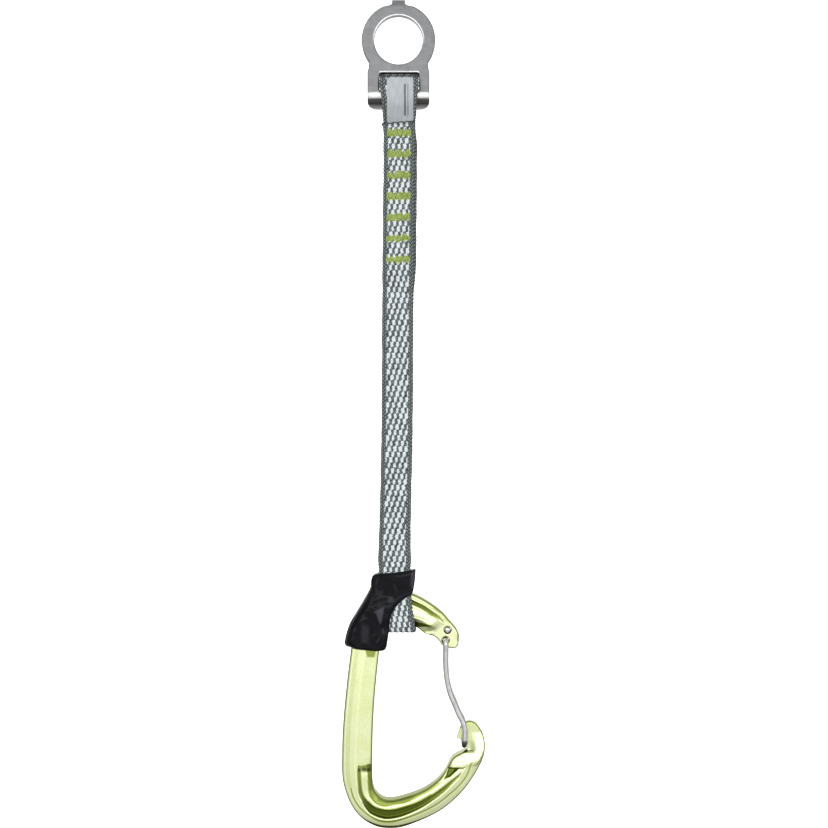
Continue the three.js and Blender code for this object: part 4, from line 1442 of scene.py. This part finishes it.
def leg_points(side):
    return [(x, side * np.interp(h, LEG_TAPER, (LEG_NARROW, LEG_WIDE)), h) for x, h in leg_line]


def gate_path():
    """From the front end, in the lower hole, down, across and up to the rear end, in the upper hole."""
    px, ph = PIVOT
    hx, hh = REAR_HOLE
    cx, ch = CROSSPIECE
    return np.vstack([
        resample([(px, 2.4, ph), (px, -2.9, ph)], 0.4)[:-1],
        smooth_curve([
            (px, -2.9, ph), (px, -LEG_WIDE + 0.75, ph - 0.12), (px, -LEG_WIDE + 0.1, ph - 0.9),
            (px, -LEG_WIDE, ph - 1.9), *leg_points(-1), (cx + 0.1, -LEG_NARROW, ch + 1.5),
            (cx, -LEG_NARROW + 0.45, ch + 0.35), (cx, -LEG_NARROW + 1.5, ch), (cx, 0, ch),
            (cx, LEG_NARROW - 1.5, ch), (cx, LEG_NARROW - 0.45, ch + 0.35),
            (cx + 0.1, LEG_NARROW, ch + 1.5), *leg_points(1)[::-1], (px, LEG_WIDE, ph),
            (hx - 0.2, LEG_WIDE, hh - 1.5), (hx, LEG_WIDE - 0.3, hh - 0.5), (hx, LEG_WIDE - 1.2, hh),
            (hx, 2.4, hh),
        ], 0.4)[:-1],
        resample([(hx, 2.4, hh), (hx, -NOSE_HALF + 0.1, hh)], 0.4),
    ])


def make_gate():
    points, faces, uv = sweep(gate_path(), WIRE_RADIUS, sides=28, dome=0.35)
    from_crosspiece = np.hypot(points[:, 0] - CROSSPIECE[0], points[:, 2] - CROSSPIECE[1])
    shade = {"shade": 0.9 * ease((2.9 - from_crosspiece) / 1.2)}
    piece = mesh_object("gate_wire_bent", raised(points), faces, uv, shade)
    stands_for(piece, wire_material(), "wire", "gate_wire", "gate_wire_rear_end")
    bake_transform(piece)


def wire_material():
    material, tree = new_material("drawn_wire")
    flat = tree.flat()
    drawn = tree.streaks(flat, (9.0, 0.12, 1), 3.0)
    cloud = tree.noise(flat, 0.4, 3.0)
    colour = tree.mottled(cloud, (0.53, 0.515, 0.505, 1), (0.69, 0.68, 0.67, 1))
    tree.look({
        "Base Color": tree.mix(tree.field("shade"), colour, (0.02, 0.022, 0.012, 1)),
        "Metallic": 1,
        "Roughness": tree.spread(drawn, 0.2, 0.8, 0.1, 0.2),
        "Normal": tree.bump(drawn, 0.00003, 0.5),
    })
    return material


# ---------------------------------------------------------------- keeper

keeper_left = [
    (6.9, 103), (-1, 101.9), (-10.2, 100.5), (-11.3, 95.6), (-14.2, 90.2), (-17.1, 85.4), (-19.8, 80.6),
    (-21.2, 75.8), (-21.3, 73.6), (-19, 72.1),
]
keeper_foot = [(-19, 72.1), (-13, 71.5), (-7.6, 71.2), (-5.4, 71.7), (-4.7, 72.6)]
keeper_exit = [
    (-4.7, 72.6), (-3.8, 78.6), (-3.3, 83.5), (-2.6, 85.9), (-0.8, 89), (0.8, 90.7), (3.8, 92.9),
    (5.4, 93.9), (6.5, 98.4), (6.9, 103),
]
# Soft creases in the rubber: start, end, width across, and height, which is negative for a fold
keeper_creases = [
    ((-9.8, 87.2), (-6.6, 83.6), 2.0, 0.42),
    ((-8.8, 90.0), (-4.4, 90.8), 1.5, -0.3),
    ((-6.2, 84.2), (-5.4, 79.6), 1.3, -0.4),
    ((-3.0, 97.2), (-1.6, 94.4), 1.3, -0.2),
    ((-8.6, 76.8), (-7.2, 74.4), 1.3, 0.3),
    ((-13.0, 82.0), (-13.6, 75.4), 2.4, 0.3),
    ((-16.6, 80.0), (-15.6, 76.0), 1.6, -0.2),
    ((4.7, 101.4), (4.3, 99), 0.8, -0.2),
    ((-8.0, 97.8), (0.6, 98.8), 1.6, -0.18),
    ((-11.0, 91.4), (-7.4, 93.0), 1.8, 0.24),
]


def keeper_half_at(points):
    x, h = points.T
    level = np.interp(h, [68, 76, 90, 93.5, 97.5, 100.5, 104], [7.1, 7.8, 7.7, 7.0, 5.1, 3.8, 3.3])
    outer = away_from(points, keeper_left[2:])
    top = away_from(points, keeper_left[:3])
    foot = away_from(points, keeper_foot)
    exit_side = away_from(points, keeper_exit)
    t = np.clip(outer / 3.2, 0, 1)
    half = level * mixed(0.42, 1, np.sqrt(1 - (1 - t) ** 2))
    half *= np.interp(top, [0, 0.25, 0.8, 1.4], [0.78, 0.92, 1.02, 1.0])
    half *= np.interp(foot, [0, 0.3, 0.9, 1.6, 2.6], [0.82, 0.93, 1.01, 1.0, 0.985])
    half *= np.interp(exit_side, [0, 0.2, 0.6, 1.5], [0.86, 0.91, 0.95, 1.0])
    for start, end, width, rise in keeper_creases:
        half += rise * line_at(away_from(points, [start, end]), width)
    half += 0.08 * np.sin(x * 0.9 + h * 0.5) * np.sin(h * 0.7 - x * 0.3)
    return np.clip(half, 1.9, 7.78)


# Where highlights are painted on the rubber: corners, strength and softness
keeper_highlights = [
    ([(-10.4, 87.1), (-7.1, 88.5), (-5.2, 89.6), (-5.5, 87), (-6.4, 82.4), (-7.6, 81.9), (-9, 86)], 1.0, 0.8),
    ([(-9.2, 74.5), (-8.2, 74.9), (-6.9, 77.4), (-7.6, 77.2)], 1.0, 0.35),
    ([(-6.6, 80.6), (-5.6, 80.4), (-5.8, 78.4), (-6.5, 78.6)], 0.7, 0.4),
    ([(4.9, 102.4), (6.8, 102.7), (6.1, 97), (5.4, 94.6), (4.7, 97.5)], 0.75, 0.5),
    ([(-5, 93), (-1.8, 93.6), (-1.4, 90.6), (-4.4, 89.6)], 0.4, 1.2),
    ([(-9.6, 95.6), (-5.5, 96), (-5.6, 92.4), (-9.4, 92.6)], 0.25, 1.3),
    ([(-15.4, 83), (-10.6, 82), (-10.8, 73.4), (-15.6, 74)], 0.3, 2.0),
]


def make_keeper():
    curves = [smooth_curve(line, 0.4)[:-1] for line in (keeper_left, keeper_foot, keeper_exit)]
    points, faces = relief([np.vstack(curves)], keeper_half_at, spacing=0.4)
    plan = points[:, [0, 2]]
    painted_glint = np.zeros(len(plan))
    for corners, strength, soft in keeper_highlights:
        painted_glint = np.maximum(painted_glint, strength * filled(plan, corners, soft))
    piece = mesh_object("rubber_keeper", raised(points), faces, fields={"painted_glint": painted_glint})
    stands_for(piece, rubber_material(), "rubber", "keeper")
    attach(piece, "carabiner")


def rubber_material():
    """Glossy moulded rubber with faint flow marks and dust."""
    material, tree = new_material("moulded_rubber")
    place = tree.position()
    cloud = tree.noise(place, 0.25, 4.0)
    grain = tree.noise(place, 6.0, 3.0)
    colour = tree.mottled(cloud, (0.0015, 0.0015, 0.003, 1), (0.005, 0.005, 0.008, 1))
    dust = tree.spread(tree.noise(place, 2.2, 6.0), 0.66, 0.8, 0.0, 0.3)
    colour = tree.mix(dust, colour, (0.016, 0.016, 0.02, 1))
    # Painted highlights lighten the base colour on the creases and the side lip
    tree.look({
        "Base Color": tree.mix(tree.field("painted_glint"), colour, (0.05, 0.05, 0.062, 1)),
        "Roughness": tree.spread(cloud, 0.25, 0.75, 0.16, 0.28),
        "Specular IOR Level": 0.12,
        "Normal": tree.bump(grain, 0.00003, 0.35),
    })
    return material


# ---------------------------------------------------------------- everything

make_hanger()
make_webbing()
make_label()
make_bartacks()
make_keeper()
make_carabiner()
make_gate()
